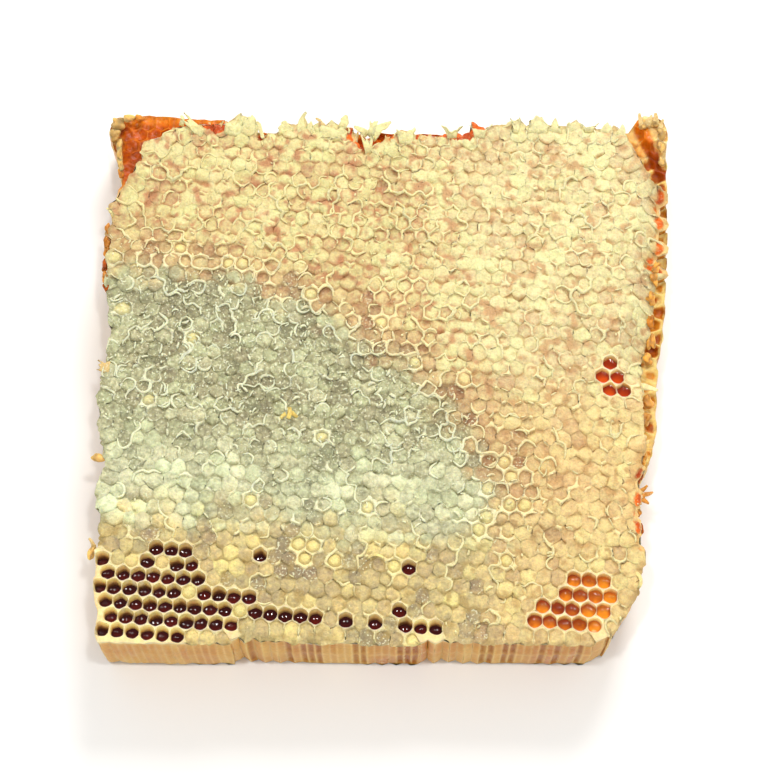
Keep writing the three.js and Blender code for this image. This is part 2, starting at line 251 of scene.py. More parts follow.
def cornerOf(three):
    key = tuple(sorted(three))
    if key in cornerIds:
        return cornerIds[key]
    centres = [cellCentre(*c) for c in three]
    x, y = sum(c[0] for c in centres) / 3, sum(c[1] for c in centres) / 3
    inside = [cells[c] for c in three if c in cells]
    atTorn = any(c["kind"] == "torn" for c in inside)
    outside = len(inside) < 3
    away = Vector((0, 0))
    if outside:
        midX, midY = (sum(c[k] for c in inside) / len(inside) for k in ("x", "y"))
        away = Vector((x - midX, y - midY)).normalized()

    def jitter(c):
        return draw(math.floor(x * 10 + 0.5), math.floor(y * 10 + 0.5), c) - 0.5

    besideTorn = atTorn and any(c["kind"] != "torn" for c in inside)
    edgeX, edgeY = x, y
    if outside or besideTorn:
        edgeX, edgeY = drawnToOutline(x, y, "slab" if outside and atTorn else "cap")
    outX, outY = x + (edgeX - x) * slab["edgePull"], y + (edgeY - y) * slab["edgePull"]
    besideWell = any(c["kind"] == "open" for c in inside)
    if not outside and not atTorn:
        stray = slab["strayAtWell"] if besideWell else slab["stray"]
        outX, outY = outX + stray * jitter(15), outY + stray * jitter(16)
    out, up = tornCornerAt(x, y) if outside else (0, 0)
    cornerIds[key] = len(corners)
    corners.append({
        "x": outX, "y": outY, "away": away, "outside": outside, "atTorn": atTorn, "jitter": jitter,
        "atCap": any(c["kind"] != "torn" for c in inside),
        "reach": slab["lipReach"] * (1 + 1.8 * jitter(6)) + 0.5 * out if outside else 0,
        "rise": up,
        "lipInset": 0 if besideWell else slab["lipInset"] * (1 + 0.8 * jitter(7)),
        "lipDrop": slab["lipDrop"] * (1 + 0.3 * jitter(8)),
        "torn": tornZ(x, y) + 0.9 * jitter(9),
        "midZ": slab["midrib"] + 0.8 * jitter(11),
    })
    return cornerIds[key]


for cell in cells.values():
    around = neighbours(*cell["id"])
    cell["ring"] = [cornerOf((cell["id"], around[k], around[(k + 1) % 6])) for k in range(6)]
    cell["around"] = around
for cell in cells.values():
    for k in range(6):
        pair = (cell["ring"][(k + 5) % 6], cell["ring"][k])
        edges.setdefault(tuple(sorted(pair)), []).append((cell["id"], cell["around"][k], pair))
print("corners and edges:", len(corners), len(edges))


def hexColour(code):
    return np.array([int(code[i:i + 2], 16) / 255 for i in (1, 3, 5)])


def toLinear(colour):
    return np.where(colour <= 0.04045, colour / 12.92, ((np.maximum(colour, 0) + 0.055) / 1.055) ** 2.4)


def socketColour(code):
    return (*toLinear(hexColour(code)), 1)


# Mixes two colours, each given as numbers or as a hex code
def blend(first, second, share):
    first, second = (hexColour(c) if isinstance(c, str) else c for c in (first, second))
    share = np.asarray(share)[..., None]
    return first * (1 - share) + second * share


# Each layer in turn covers what lies below it
def layered(layers, x):
    weights = {}
    for name, share in layers:
        weights = {before: weight * (1 - share) for before, weight in weights.items()}
        weights[name] = share + 0 * x
    return weights


# Zones of the capped surface. Each has a range of colours from its most stained to its palest cap, the
# place of most caps on it and how far they stray, how deep the lowest and how proud the highest stand, how
# deep the grooves are, the chances that two caps join in a ridge of wax or without a seam, and how uneven
# the bees left the caps when they patted them down.
# Each zone's groove colour is painted shade in its grooves and creases; its stain colour is both real rust
# stain and painted shade on the front sides of caps and in the moats round ridges; its ridge colour is the
# pale wax of ridges, threads and crumbs.
zones = {
    "dry": {"caps": ["#A27250", "#C1996D", "#D5C184", "#DFD293", "#E4D99C", "#E9DFA4"], "middle": 0.54,
            "spread": 0.25, "domes": (-1.0, 0.65), "depth": 0.46, "joins": (0.25, 0.46), "patted": 0.5,
            "grooveShade": "#BC925C", "stainAndShade": "#BA7A54", "ridge": "#F3E2A2"},
    "right": {"caps": ["#AE825C", "#CCAE80", "#DAC894", "#E4D99E", "#E9DEA5", "#EEE4A9"], "middle": 0.54,
              "spread": 0.24, "domes": (-0.75, 0.4), "depth": 0.4, "joins": (0.14, 0.62), "patted": 0.62,
              "grooveShade": "#B89258", "stainAndShade": "#C69868", "ridge": "#F4E6AE"},
    "lowRight": {"caps": ["#AC7E54", "#CAA472", "#D9BA80", "#E5CA89", "#EDD492", "#F2DD9A"], "middle": 0.52,
                 "spread": 0.26, "domes": (-0.65, 0.4), "depth": 0.34, "joins": (0.17, 0.5), "patted": 0.45,
                 "grooveShade": "#BA925A", "stainAndShade": "#C69A62", "ridge": "#F5E3A6"},
    "belt": {"caps": ["#9C7250", "#BE9A6C", "#D0B27E", "#DEC286", "#ECD494", "#F6E2A6"], "middle": 0.36,
             "spread": 0.37, "domes": (-0.95, 0.7), "depth": 0.5, "joins": (0.26, 0.28), "patted": 0.3,
             "grooveShade": "#98784E", "stainAndShade": "#A67E50", "ridge": "#FBE7B0"},
    "wet": {"caps": ["#868060", "#9E9974", "#B0AD84", "#C0BE92", "#D1D0A4", "#E5E3B4"], "middle": 0.37,
            "spread": 0.34, "domes": (-0.7, 0.7), "depth": 0.52, "joins": (0.09, 0.32), "patted": 0.4,
            "grooveShade": "#8E8862", "stainAndShade": "#9A926C", "ridge": "#ECEBC4"},
    "pale": {"caps": ["#8E8C6C", "#AEAE88", "#C7C89E", "#DADBAE", "#E8E8BC", "#F0EFC2"], "middle": 0.46,
             "spread": 0.35, "domes": (-0.4, 0.65), "depth": 0.42, "joins": (0.06, 0.36), "patted": 0.2,
             "grooveShade": "#939068", "stainAndShade": "#ABA67C", "ridge": "#F1F0C6"},
    "low": {"caps": ["#968464", "#B29E72", "#CAB57E", "#E2CA86", "#EDDA8C", "#F3E496"], "middle": 0.42,
            "spread": 0.38, "domes": (-0.3, 0.6), "depth": 0.4, "joins": (0.08, 0.28), "patted": 0.2,
            "grooveShade": "#A08C58", "stainAndShade": "#B09458", "ridge": "#F5E5A8"},
}
# Where the caps are paler (above 0) or more stained than their zone: place, how far it reaches, how much
patches = [
    (-38, 32.5, 12, 0.18), (2, 61, 14, -0.26), (-57, 19, 9, -0.26), (10, 46, 11, 0.12), (6.6, 6, 9, -0.18),
    (-61.5, -34.5, 9, 0.18), (-61, -60, 9, 0.18), (-5.8, -34.5, 10, 0.16), (6.5, -47.4, 10, 0.2),
    (45, -42, 11, -0.42), (20, -41, 8, 0.12), (30, -62, 8, -0.12), (-24, -76, 14, -0.5), (22, -86, 10, 0.12),
    (-81.5, 11.8, 8, 0.12), (-24.5, -1.7, 9, 0.1), (80, 33, 10, 0.16), (24, -19, 12, -0.36),
    (-86, -34, 9, -0.34), (-34, -20, 10, -0.18), (-22, -38, 9, -0.14), (-60, -63, 8, -0.2), (38, 6, 8, 0.04),
]
# Where one zone passes into the next, by x, by y or by how far out of the wet zone it is
zoneEdges = {"rightX": (0, 55), "lowRightX": (5, 45), "lowRightY": (2, -30), "beltY": (-85, -60),
             "wetAway": (0.9, 1.08), "paleY": (-20, -50), "lowY": (-52, -76), "lowX": (20, 50)}
capReach = 2.7  # from the middle of a cap to its border
golden = {"colour": "#E4D48A", "dome": 0.5, "pale": 0.8, "places": [
    (-94.5, 19.5), (-83.1, -15.7), (-69.6, 9.8), (-3.8, 15.6), (29.4, -7.8), (-98.9, 38.8), (-58.1, 38.8),
    (-53, 38), (-23.5, -28.5), (35.2, -49.6), (47.3, -54.3), (40.5, -54), (34.3, -58.4), (-69, -85.5),
    (-51.5, -92)]}


def zoneWeights(x, y):
    turn = math.radians(wetZone["turn"])
    dx, dy = x - wetZone["centre"][0], y - wetZone["centre"][1]
    u = (dx * math.cos(turn) + dy * math.sin(turn)) / wetZone["radii"][0]
    v = (dy * math.cos(turn) - dx * math.sin(turn)) / wetZone["radii"][1]
    away = (1.03 + 0.07 * smooth(5, 35, x)) * np.hypot(u, v)
    away = away + 0.04 * speckle(x, y, 9, 31) + 0.045 * speckle(x, y, 4, 32)
    belt = 0.9 * np.exp(-((away - 1.05) / 0.11) ** 2)  # it rings the wet zone

    def within(edge, value):
        return smooth(*zoneEdges[edge], value)

    wet = 1 - within("wetAway", away)
    pale = within("paleY", y + 0.1 * x + 6 * speckle(x, y, 12, 33))
    low = within("lowY", y + 0.05 * x + 8 * speckle(x, y, 9, 34)) * (1 - 0.6 * within("lowX", x))
    return layered([("dry", 1), ("right", within("rightX", x + 0.15 * y)),
                    ("lowRight", within("lowRightY", y) * within("lowRightX", x)),
                    ("belt", belt * within("beltY", y)),
                    ("wet", wet), ("pale", wet * pale), ("low", low)], x)


def zoneColour(x, y, what, tone=None):
    weights = zoneWeights(x, y)
    colour = 0
    for name, zone in zones.items():
        if what != "caps":
            colour = colour + weights[name][..., None] * hexColour(zone[what])
            continue
        stops = np.array([hexColour(code) for code in zone["caps"]])
        place = np.linspace(0, 1, len(stops))
        ramp = np.stack([np.interp(tone, place, stops[:, k]) for k in range(3)], axis=-1)
        colour = colour + weights[name][..., None] * ramp
    return colour


zoneDrift = 11  # caps of neighbouring zones mix over about this width


# How pale a cap is decides how proud it stands; golden ones are round and lie in a moat
def giveCapsTheirLooks():
    for cell in cells.values():
        x, y = cell["x"], cell["y"]
        weights = zoneWeights(x, y)

        def mixed(what, k=None):
            return sum(weights[name] * (zone[what] if k is None else zone[what][k])
                       for name, zone in zones.items())

        luck = [draw(*cell["id"], c) for c in (71, 72, 73)]
        drift = 0.8 * speckle(x, y, 9.5, 35) + 0.9 * (luck[0] - 0.5) + 0.3 * (luck[1] - 0.5)
        patch = sum(much * math.exp(-(math.dist((x, y), (px, py)) / reach) ** 2)
                    for px, py, reach, much in patches)
        cell["pale"] = min(1, max(0.02, mixed("middle") + mixed("spread") * drift + patch))
        rank = smooth(0.12, 0.72, cell["pale"])
        cell["dome"] = mixed("domes", 0) + (mixed("domes", 1) - mixed("domes", 0)) * rank
        cell["golden"] = any(math.dist((x, y), place) < capReach for place in golden["places"])
        if not cell["golden"] and cell["kind"] == "capped":
            cell["golden"] = luck[2] < 0.05 * weights["belt"] + 0.1 * weights["low"]
        if cell["golden"]:
            cell["dome"], cell["pale"] = golden["dome"], golden["pale"]
        cell["depth"], cell["joins"] = mixed("depth"), (mixed("joins", 0), mixed("joins", 1))
        cell["patted"], cell["hue"] = mixed("patted"), 2 * draw(*cell["id"], 76) - 1
        cell["wet"] = weights["wet"] + 0.6 * weights["pale"]
        cell["weights"] = weights
        cell["driftX"], cell["driftY"] = (zoneDrift * (draw(*cell["id"], c) - 0.5) for c in (74, 75))


giveCapsTheirLooks()

# How neighbouring caps meet: in a ridge, a groove or without a seam. A join has how much of a ridge it is
# (crest) or of a seamless join (merge), how high it stands, how far it bows aside and how it wavers. The
# pairs are factors for caps that stand proud or sunken, and for caps in two rows or in one, where the edge
# between them is upright.
joinHabits = {"wave": 0.5, "bow": 1.3, "patchy": 0.9, "upright": 1.3, "mergeAtEdge": 0.4,
              "ridgeBySunken": (0.75, 1.6), "mergeBySunken": (1.25, 0.5), "mergeByRow": (0.75, 1.4),
              "grooveByRow": (1.2, 0.75)}
joins, cornerJoins, linked = {}, {}, {}


def joinOf(key, pair):
    luck = [draw(*key, k) for k in (31, 32, 33)]
    a, b = corners[key[0]], corners[key[1]]
    join = {"crest": 0, "merge": 0, "rise": 0, "bow": 0, "wave": joinHabits["wave"]}
    kinds = {c["kind"] for c in pair}
    if kinds == {"open"}:
        join.update(crest=1, rise=0.1 + 0.3 * (luck[1] - 0.5), wave=0.1)
    elif "open" in kinds:
        join.update(crest=0.8, rise=0.2, wave=0.15)
    elif "torn" in kinds or len(pair) < 2:
        join.update(crest=0.2, merge=0.5, rise=-0.4 + 1.2 * (luck[1] - 0.5), bow=1.2 * (luck[2] - 0.5))
    elif any(c["golden"] for c in pair):
        join.update(crest=1, rise=0.3, bow=0.2 * (luck[2] - 0.5))
    else:
        join["bow"] = joinHabits["bow"] * (luck[2] - 0.5)
        inRow = int(abs(a["x"] - b["x"]) < joinHabits["upright"])
        sunken = int(any(c["dome"] < 0 for c in pair))
        depth = sum(c["depth"] for c in pair) / 2
        ridgeChance, mergeChance = (sum(c["joins"][k] for c in pair) / 2 for k in (0, 1))
        patchy = 1 + joinHabits["patchy"] * speckle(a["x"], a["y"], 16, 49)
        ridgeChance *= joinHabits["ridgeBySunken"][sunken] * patchy
        mergeChance *= joinHabits["mergeByRow"][inRow] * joinHabits["mergeBySunken"][sunken]
        inside = max(depthInside(c["x"], c["y"], "cap") for c in pair)
        mergeChance += joinHabits["mergeAtEdge"] * smooth(12, 4, inside)
        if luck[0] < ridgeChance:
            join.update(crest=1, rise=0.15 + 0.5 * luck[1])
        elif luck[0] < ridgeChance + mergeChance:
            join.update(merge=1, rise=0.75 * min(c["dome"] for c in pair) + 0.2 * (luck[1] - 0.5))
        else:
            join["rise"] = -depth * (0.4 + 1.7 * luck[1] ** 2.5) * joinHabits["grooveByRow"][inRow]
    return join


def joinCaps():
    meeting = {}
    for key, users in edges.items():
        pair = [cells[cell] for cell, _, _ in users]
        joins[key] = joinOf(key, pair)
        for a, b in (key, key[::-1]):
            meeting.setdefault(a, []).append(joins[key])
            if len(pair) == 2 and all(c["kind"] == "capped" for c in pair):
                linked.setdefault(a, []).append(b)
    for at, found in meeting.items():
        cornerJoins[at] = {what: sorted(join[what] for join in found)[len(found) // 2]
                           for what in ("crest", "merge", "rise")}


joinCaps()


# A place on the border of a cell, with how much of a ridge or of a seamless join it is there
def cornerPlace(at, level):
    c = corners[at]
    if level == "cap":
        x, y = c["x"] + c["away"].x * c["reach"], c["y"] + c["away"].y * c["reach"]
        join = cornerJoins[at]
        return x, y, capZ(x, y) + join["rise"] + c["rise"], join["crest"], join["merge"]
    if level == "torn":
        top = slab["capHeight"]
        if c["atCap"]:
            top = capZ(c["x"], c["y"]) + c["rise"] - c["lipDrop"] - slab["tornStep"]
        return c["x"], c["y"], min(top, c["torn"]), 0, 0
    inset = slab["baseInset"] * (1 + c["jitter"](14)) if c["outside"] else 0
    return c["x"] - c["away"].x * inset, c["y"] - c["away"].y * inset, 0 if c["outside"] else 0.35, 0, 0


def borderPoint(a, b, share, level):
    if a > b:
        a, b, share = b, a, 1 - share
    if share in (0, 1):
        return cornerPlace(b if share else a, level)
    first, second = cornerPlace(a, level), cornerPlace(b, level)
    x, y, z, crest, merge = (p + (q - p) * share for p, q in zip(first, second))
    if level != "cap":
        return x, y, z, crest, merge
    join = joins[a, b]
    bow = join["bow"] * 4 * share * (1 - share) / math.dist(first[:2], second[:2])
    x, y = x - (second[1] - first[1]) * bow, y + (second[0] - first[0]) * bow
    middle = min(1, 3.4 * min(share, 1 - share))
    wave = join["wave"] * middle
    x, y = x + wave * speckle(x, y, 1.5, 111), y + wave * speckle(x, y, 1.5, 112)
    ends = ((a, 1 - share), (b, share))
    atEnds = sum(cornerJoins[at]["rise"] * part for at, part in ends)
    lift = 0.8 * sum(corners[at]["rise"] * part for at, part in ends)
    rise = atEnds * (1 - middle) + join["rise"] * (1 + 0.5 * speckle(x, y, 1.6, 36)) * middle
    crest = crest * (1 - middle) + join["crest"] * middle
    merge = merge * (1 - middle) + join["merge"] * middle
    return x, y, capZ(x, y) + rise + lift, crest, merge


# One cell of each kind is modelled flat, on a circle of radius 1, and then laid over the lattice. Its insets
# make rings, and its drops the walls of an open cell.
def modelCell(segments, rings, drops=()):
    bpy.ops.object.select_all(action="DESELECT")
    bpy.ops.mesh.primitive_circle_add(vertices=segments, radius=1, fill_type="NGON")
    bpy.ops.object.mode_set(mode="EDIT")
    bpy.ops.mesh.select_mode(type="FACE")
    for width in rings:
        bpy.ops.mesh.inset(thickness=width, use_even_offset=False)
    for drop in drops:
        bpy.ops.mesh.extrude_region_move(TRANSFORM_OT_translate={"value": (0, 0, -drop)})
    if not drops:
        bpy.ops.mesh.poke()
    bpy.ops.object.mode_set(mode="OBJECT")
    shape = bpy.context.object
    points = []
    for v in shape.data.vertices:
        step = round((math.degrees(math.atan2(v.co.y, v.co.x)) - 30) / (360 / segments)) % segments
        points.append((math.hypot(v.co.x, v.co.y), step, v.co.z))
    faces = [list(p.vertices) for p in shape.data.polygons]
    bpy.data.objects.remove(shape, do_unlink=True)
    return {"points": np.array(points), "faces": faces, "segments": segments}


capShape = modelCell(24, [0.06, 0.07, 0.10, 0.17, 0.22])
wellShape = modelCell(24, [0.02, 0.02], [0.2, 0.4, 0.7, 1.0, 1.3, 1.6, 1.4])
poolShape = modelCell(24, [0.08, 0.14, 0.2, 0.22, 0.18])
lowerCapShape = modelCell(12, [0.12])
print("cell shapes modelled")


# Lays a shape over each chosen cell. The cells share the points of their borders. Roundness turns the
# hexagon into a circle inside its border, and limit holds back the long corners of cells at the edge.
def layCellShape(chosen, shape, level, relief, roundness, limit=9):
    segments = shape["segments"]
    perEdge = segments // 6
    border, borderId, ids = [], {}, np.zeros((len(chosen), segments), dtype=int)
    for i, cell in enumerate(chosen):
        for step in range(segments):
            a, b = cell["ring"][step // perEdge], cell["ring"][(step // perEdge + 1) % 6]
            part = step % perEdge
            key = a if part == 0 else (min(a, b), max(a, b), part if a < b else perEdge - part)
            if key not in borderId:
                borderId[key] = len(border)
                border.append(borderPoint(a, b, part / perEdge, level))
            ids[i, step] = borderId[key]
    border = np.array(border)
    share, step, depth = shape["points"].T
    step = step.astype(int)
    outermost = share > 0.999
    inner = np.where(~outermost)[0]
    centre = np.array([(c["x"], c["y"]) for c in chosen])
    rim = border[ids]
    reach = rim[:, :, :2] - centre[:, None, :]
    reach *= np.minimum(1, limit / np.linalg.norm(reach, axis=2))[..., None]
    length = np.linalg.norm(reach, axis=2)
    rounder = length.mean(axis=1, keepdims=True) / length - 1
    t = share[inner][None, :]
    swing = 1 + roundness * rounder[:, step[inner]] * np.clip((1 - t) / 0.07, 0, 1)
    xy = centre[:, None, :] + reach[:, step[inner]] * (t * swing)[..., None]
    x, y, z = relief(xy[..., 0], xy[..., 1], t, rim[:, step[inner]], depth[inner][None, :], chosen)
    local = np.zeros((len(chosen), len(share)), dtype=int)
    local[:, inner] = len(border) + np.arange(len(chosen) * len(inner)).reshape(len(chosen), len(inner))
    local[:, outermost] = ids[:, step[outermost]]
    owner = np.zeros(len(border) + x.size, dtype=int)
    owner[ids.ravel()] = np.repeat(np.arange(len(chosen)), segments)
    owner[len(border):] = np.repeat(np.arange(len(chosen)), len(inner))
    return {
        "owner": owner,
        "points": np.concatenate([border[:, :3], np.stack([x, y, z], axis=-1).reshape(-1, 3)]),
        "faces": [row.tolist() for face in shape["faces"] for row in local[:, face]],
        "share": np.concatenate([np.ones(len(border)), np.tile(share[inner], len(chosen))]),
        "join": np.concatenate([border[:, 3:], rim[:, step[inner], 3:].reshape(-1, 2)]),
    }


def ofCells(chosen, what):
    return np.array([c[what] for c in chosen])[:, None]


def drawn(chosen, seed):
    return np.array([draw(*c["id"], seed) for c in chosen])


def ofOwners(laid, chosen, what):
    return ofCells(chosen, what)[laid["owner"], 0]


def paint(piece, tint, gloss):
    layer = piece.data.color_attributes.new(name="tint", type="FLOAT_COLOR", domain="POINT")
    data = np.ones((len(piece.data.vertices), 4), dtype=np.float32)
    data[:, :3] = toLinear(np.clip(tint, 0, 1))
    data[:, 3] = np.clip(gloss, 0, 1)
    layer.data.foreach_set("color", data.ravel())


# No piece stands out of the comb's own box
def makePiece(name, points, faces, material, margin=0.02):
    low, high = np.array(cadLow) / mm, np.array(cadHigh) / mm
    low[:2] += margin
    points = np.clip(np.asarray(points), low, high - margin)
    mesh = bpy.data.meshes.new(name)
    mesh.from_pydata((points * mm).tolist(), [], faces)
    mesh.materials.append(material)
    mesh.polygons.foreach_set("use_smooth", [True] * len(mesh.polygons))
    mesh.update()
    piece = bpy.data.objects.new(name, mesh)
    bpy.context.collection.objects.link(piece)
    return piece


# Selects one piece for what is done to it next
def pick(piece):
    bpy.ops.object.select_all(action="DESELECT")
    piece.select_set(True)
    bpy.context.view_layer.objects.active = piece


# Settings are sockets by name or number, or the node's own options. A link gives the node it comes from, the
# output there and the input here.
def addNode(tree, kind, settings, *links):
    node = tree.nodes.new("ShaderNode" + kind)
    for name, value in settings.items():
        if isinstance(name, int) or name in node.inputs:
            node.inputs[name].default_value = value
        else:
            setattr(node, name, value)
    for source, output, target in links:
        tree.links.new(source.outputs[output], node.inputs[target])
    return node


fleckColour = "#EEEBC4"


# The tint attribute holds a colour, and in its alpha how wet the wax is. Mottle and relief follow one fine
# grain, and flecks whiten the wet wax.
def tintedMaterial(name, look):
    material = bpy.data.materials.new(name)
    material.use_nodes = True
    tree = material.node_tree
    tree.nodes.clear()
    place = addNode(tree, "TexCoord", {})
    tint = addNode(tree, "Attribute", {"attribute_name": "tint"})
    grain = addNode(tree, "TexNoise", {"Scale": 1 / (look["grain"] * mm), "Detail": 4.0, "Roughness": 0.7},
                    (place, "Object", "Vector"))
    mottle = addNode(tree, "MapRange", {"From Min": 0.3, "From Max": 0.7, "To Min": 1 - look["mottle"],
                                        "To Max": 1 + look["mottle"]}, (grain, "Fac", "Value"))
    mottled = addNode(tree, "VectorMath", {"operation": "SCALE"},
                      (tint, "Color", 0), (mottle, "Result", "Scale"))
    spots = addNode(tree, "TexNoise", {"Scale": 1 / (look["fleck"] * mm), "Detail": 1.0},
                    (place, "Object", "Vector"))
    flecks = addNode(tree, "MapRange", {"From Min": 0.58, "From Max": 0.68}, (spots, "Fac", "Value"))
    onWet = addNode(tree, "Math", {"operation": "MULTIPLY"}, (flecks, "Result", 0), (tint, "Alpha", 1))
    share = addNode(tree, "Math", {"operation": "MULTIPLY", 1: look["flecks"]}, (onWet, "Value", 0))
    flecked = addNode(tree, "Mix", {"data_type": "RGBA", 7: socketColour(fleckColour)},
                      (share, "Value", 0), (mottled, "Vector", 6))
    roughness = addNode(tree, "MapRange", {"To Min": look["dry"], "To Max": look["wet"]},
                        (tint, "Alpha", "Value"))
    bump = addNode(tree, "Bump", {"Strength": 1.0, "Distance": look["relief"] * mm},
                   (grain, "Fac", "Height"))
    skin = addNode(tree, "BsdfPrincipled", {
        "IOR": look["ior"], "Specular IOR Level": look["shine"], "Subsurface Weight": look["glow"],
        "Subsurface Scale": look["glowDepth"] * mm, "Subsurface Radius": look["scatter"],
    }, (flecked, 2, "Base Color"), (roughness, "Result", "Roughness"), (bump, "Normal", "Normal"))
    addNode(tree, "OutputMaterial", {}, (skin, "BSDF", "Surface"))
    return material


# Beeswax cappings, chewed and patted by the bees: dry and papery, with a fine uneven grain and dry flecks
cappingWax = tintedMaterial("beeswax capping", {
    "grain": 0.8, "mottle": 0.18, "relief": 0.6, "fleck": 0.9, "flecks": 1.2, "dry": 0.65, "wet": 0.38,
    "shine": 0.4, "ior": 1.44, "glow": 0.25, "glowDepth": 1.2, "scatter": (1.0, 0.65, 0.3)})
# Cell walls drawn thin from clear beeswax, which light shines through and honey has run over
wallWax = tintedMaterial("beeswax cell wall", {
    "grain": 1.2, "mottle": 0.12, "relief": 0.15, "fleck": 2.0, "flecks": 0.0, "dry": 0.5, "wet": 0.24,
    "shine": 0.2, "ior": 1.45, "glow": 0.75, "glowDepth": 3.5, "scatter": (1.0, 0.88, 0.55)})
# Liquid honey: smooth, with a sharp highlight; painted shade darkens it near the walls of its cell
honey = tintedMaterial("liquid honey", {
    "grain": 3.0, "mottle": 0.05, "relief": 0.0, "fleck": 2.0, "flecks": 0.0, "dry": 0.05, "wet": 0.03,
    "shine": 0.16, "ior": 1.49, "glow": 0.0, "glowDepth": 1.0, "scatter": (1.0, 0.6, 0.2)})
print("materials made")

# Cappings: the closed cells. Each leans a little its own way, and all of them to the front.
capping = {"fineWrinkle": 0.22, "lean": 0.16, "frontLean": 0.08, "moat": 0.3, "top": 36.6, "hue": 0.016,
           "ridgeFrom": 0.78, "ridgeTo": 0.93, "roundness": 0.75}
# Shares of the colours laid over the caps: painted shade with stain on their front sides, painted shade in
# grooves, moats and creases, pale ridge wax, rust stains and tan near the torn edge
tintShares = {"stainAndShade": 0.7, "grooveShade": 0.6, "moat": 0.7, "ridge": 0.9, "rust": 0.75, "tan": 0.6,
              "creaseShade": 0.12}


def cappingRelief(x, y, t, rim, depth, chosen):
    cx, cy, dome, wet, isGolden, patted = (
        ofCells(chosen, what) for what in ("x", "y", "dome", "wet", "golden", "patted"))
    leanX, leanY = (drawn(chosen, seed)[:, None] - 0.5 for seed in (51, 52))
    rimZ, crest, merge = rim[..., 2], rim[..., 3], rim[..., 4]
    core = np.clip(t / (1 - 0.15 * crest), 0, 1)
    body = dome * (1 - (1 - 0.75 * merge) * core ** np.where(dome > 0, 3.3, 2.4))
    body -= capping["moat"] * crest * smooth(0.5, 0.76, t) + 0.25 * isGolden * smooth(0.6, 0.8, t)
    lean = 2 * capping["lean"] * (leanX * (x - cx) + leanY * (y - cy))
    lean -= capping["frontLean"] * (1 - 0.5 * wet) * (y - cy)
    wrinkle = patted * speckle(x, y, 1.9, 37) + 0.6 * patted * speckle(x, y * 1.5, 3.3, 50)
    wrinkle += capping["fineWrinkle"] * (1 + wet) * speckle(x, y, 0.8, 38)
    atRidge = smooth(capping["ridgeFrom"], capping["ridgeTo"], t)
    pull = np.clip(crest * atRidge + merge * t ** 3 + np.clip(1 - crest - merge, 0, 1) * t ** 4.6, 0, 1)
    z = (capZ(x, y) + body + lean + wrinkle) * (1 - pull) + rimZ * pull
    return x, y, np.minimum(z, capping["top"])


def tintCappings(laid, chosen):
    x, y, z = laid["points"].T
    t, (crest, merge) = laid["share"], laid["join"].T
    pale, wet, isGolden, cy, driftX, driftY, hue = (
        ofOwners(laid, chosen, what) for what in ("pale", "wet", "golden", "y", "driftX", "driftY", "hue"))
    tone = pale + 0.16 * speckle(x, y, 1.2, 39) + 0.08 * speckle(x, y, 3.1, 40)
    tone += 0.1 * speckle(x, y, 0.6, 43) + 0.3 * wet * speckle(x, y, 0.9, 44)
    colour = zoneColour(x + driftX, y + driftY, "caps", np.clip(tone, 0, 1))
    hue = hue + 0.4 * speckle(x, y, 1.2, 48)
    colour = colour * (1 + capping["hue"] * hue[:, None] * np.array([-0.3, 1, 0.4]))
    gold = hexColour(golden["colour"]) * (1 + 0.08 * speckle(x, y, 1.5, 42))[:, None]
    colour = blend(colour, gold, (0.55 + 0.3 * speckle(x, y, 8, 42)) * isGolden * smooth(0.95, 0.8, t))
    stainAndShade, grooveShade, ridge = (zoneColour(x, y, what) for what in ("stainAndShade", "grooveShade", "ridge"))
    # Painted shade, in patches, on the front side of each cap, which faces away from the light at the back
    frontShade = smooth(0.5, 2.2, cy - y) * (1 - crest) * (1 - merge)
    shadePatches = smooth(0.6, 0.9, t) * smooth(-0.5, 0.5, speckle(x, y, 3.5, 41))
    colour = blend(colour, stainAndShade, tintShares["stainAndShade"] * frontShade * shadePatches)
    rise = z - capZ(x, y)
    # Painted shade: the lower a cap's border lies, the darker it is painted with the groove colour
    colour = blend(colour, grooveShade, tintShares["grooveShade"] * smooth(0.7, 0.95, t) * smooth(0.05, -0.55, rise))
    # Painted shade in the moat round a ridge
    moat = crest * smooth(0.52, 0.7, t) * smooth(0.86, 0.76, t)
    colour = blend(colour, stainAndShade, tintShares["moat"] * moat)
    onRidge = crest * smooth(0.78, 0.88, t) * smooth(-0.5, 0.0, rise)
    colour = blend(colour, ridge, tintShares["ridge"] * onRidge)
    rust = smooth(0.2, 0.75, 0.7 * speckle(x, y, 2.1, 110) + 0.7 * speckle(x, y, 3.7, 113)) * (1 - wet)
    colour = blend(colour, stainAndShade, tintShares["rust"] * rust * (1 - crest))
    nearTorn = smooth(-5, -0.8, x - along(tornEdge["right"], y))
    nearTorn = nearTorn * smooth(-0.6, 0.6, speckle(x, y, 3, 101) + 0.4)
    colour = blend(colour, tornEdge["tan"], tintShares["tan"] * nearTorn)
    # Painted shade in the creases along the borders of caps
    creaseShade = smooth(0.86, 1.0, t) * (1 - crest) * smooth(-0.6, 0.4, speckle(x, y, 2.8, 109))
    colour = blend(colour, grooveShade, tintShares["creaseShade"] * creaseShade)
    bare = blend(tornEdge["honey"], tornEdge["deep"], smooth(-0.4, 0.5, speckle(x, y, 2.4, 100)))
    bare = blend(bare, tornEdge["web"], smooth(0.7, 0.88, t) * smooth(60, 80, x))
    share = tornShare(x, y)
    gloss = 0.5 * wet + 0.6 * smooth(0.3, 0.1, pale) * (1 - wet)
    return blend(colour, bare, share), gloss * (1 - share) + 0.15 * share


def cellsOf(kind):
    return [c for c in cells.values() if c["kind"] == kind]


capped = cellsOf("capped")
# Each part takes the caps from one row of cells up to another
cappingParts = {"cappings_far": (7, 99), "cappings_middle": (-7, 7), "cappings_near": (-99, -7)}


def buildCappings():
    made = []
    for name, (first, end) in cappingParts.items():
        chosen = [c for c in capped if first <= c["id"][1] < end]
        laid = layCellShape(chosen, capShape, "cap", cappingRelief, capping["roundness"])
        piece = makePiece(name, laid["points"], laid["faces"], cappingWax)
        paint(piece, *tintCappings(laid, chosen))
        made.append(piece)
        print("built", name, len(laid["faces"]))
    return made


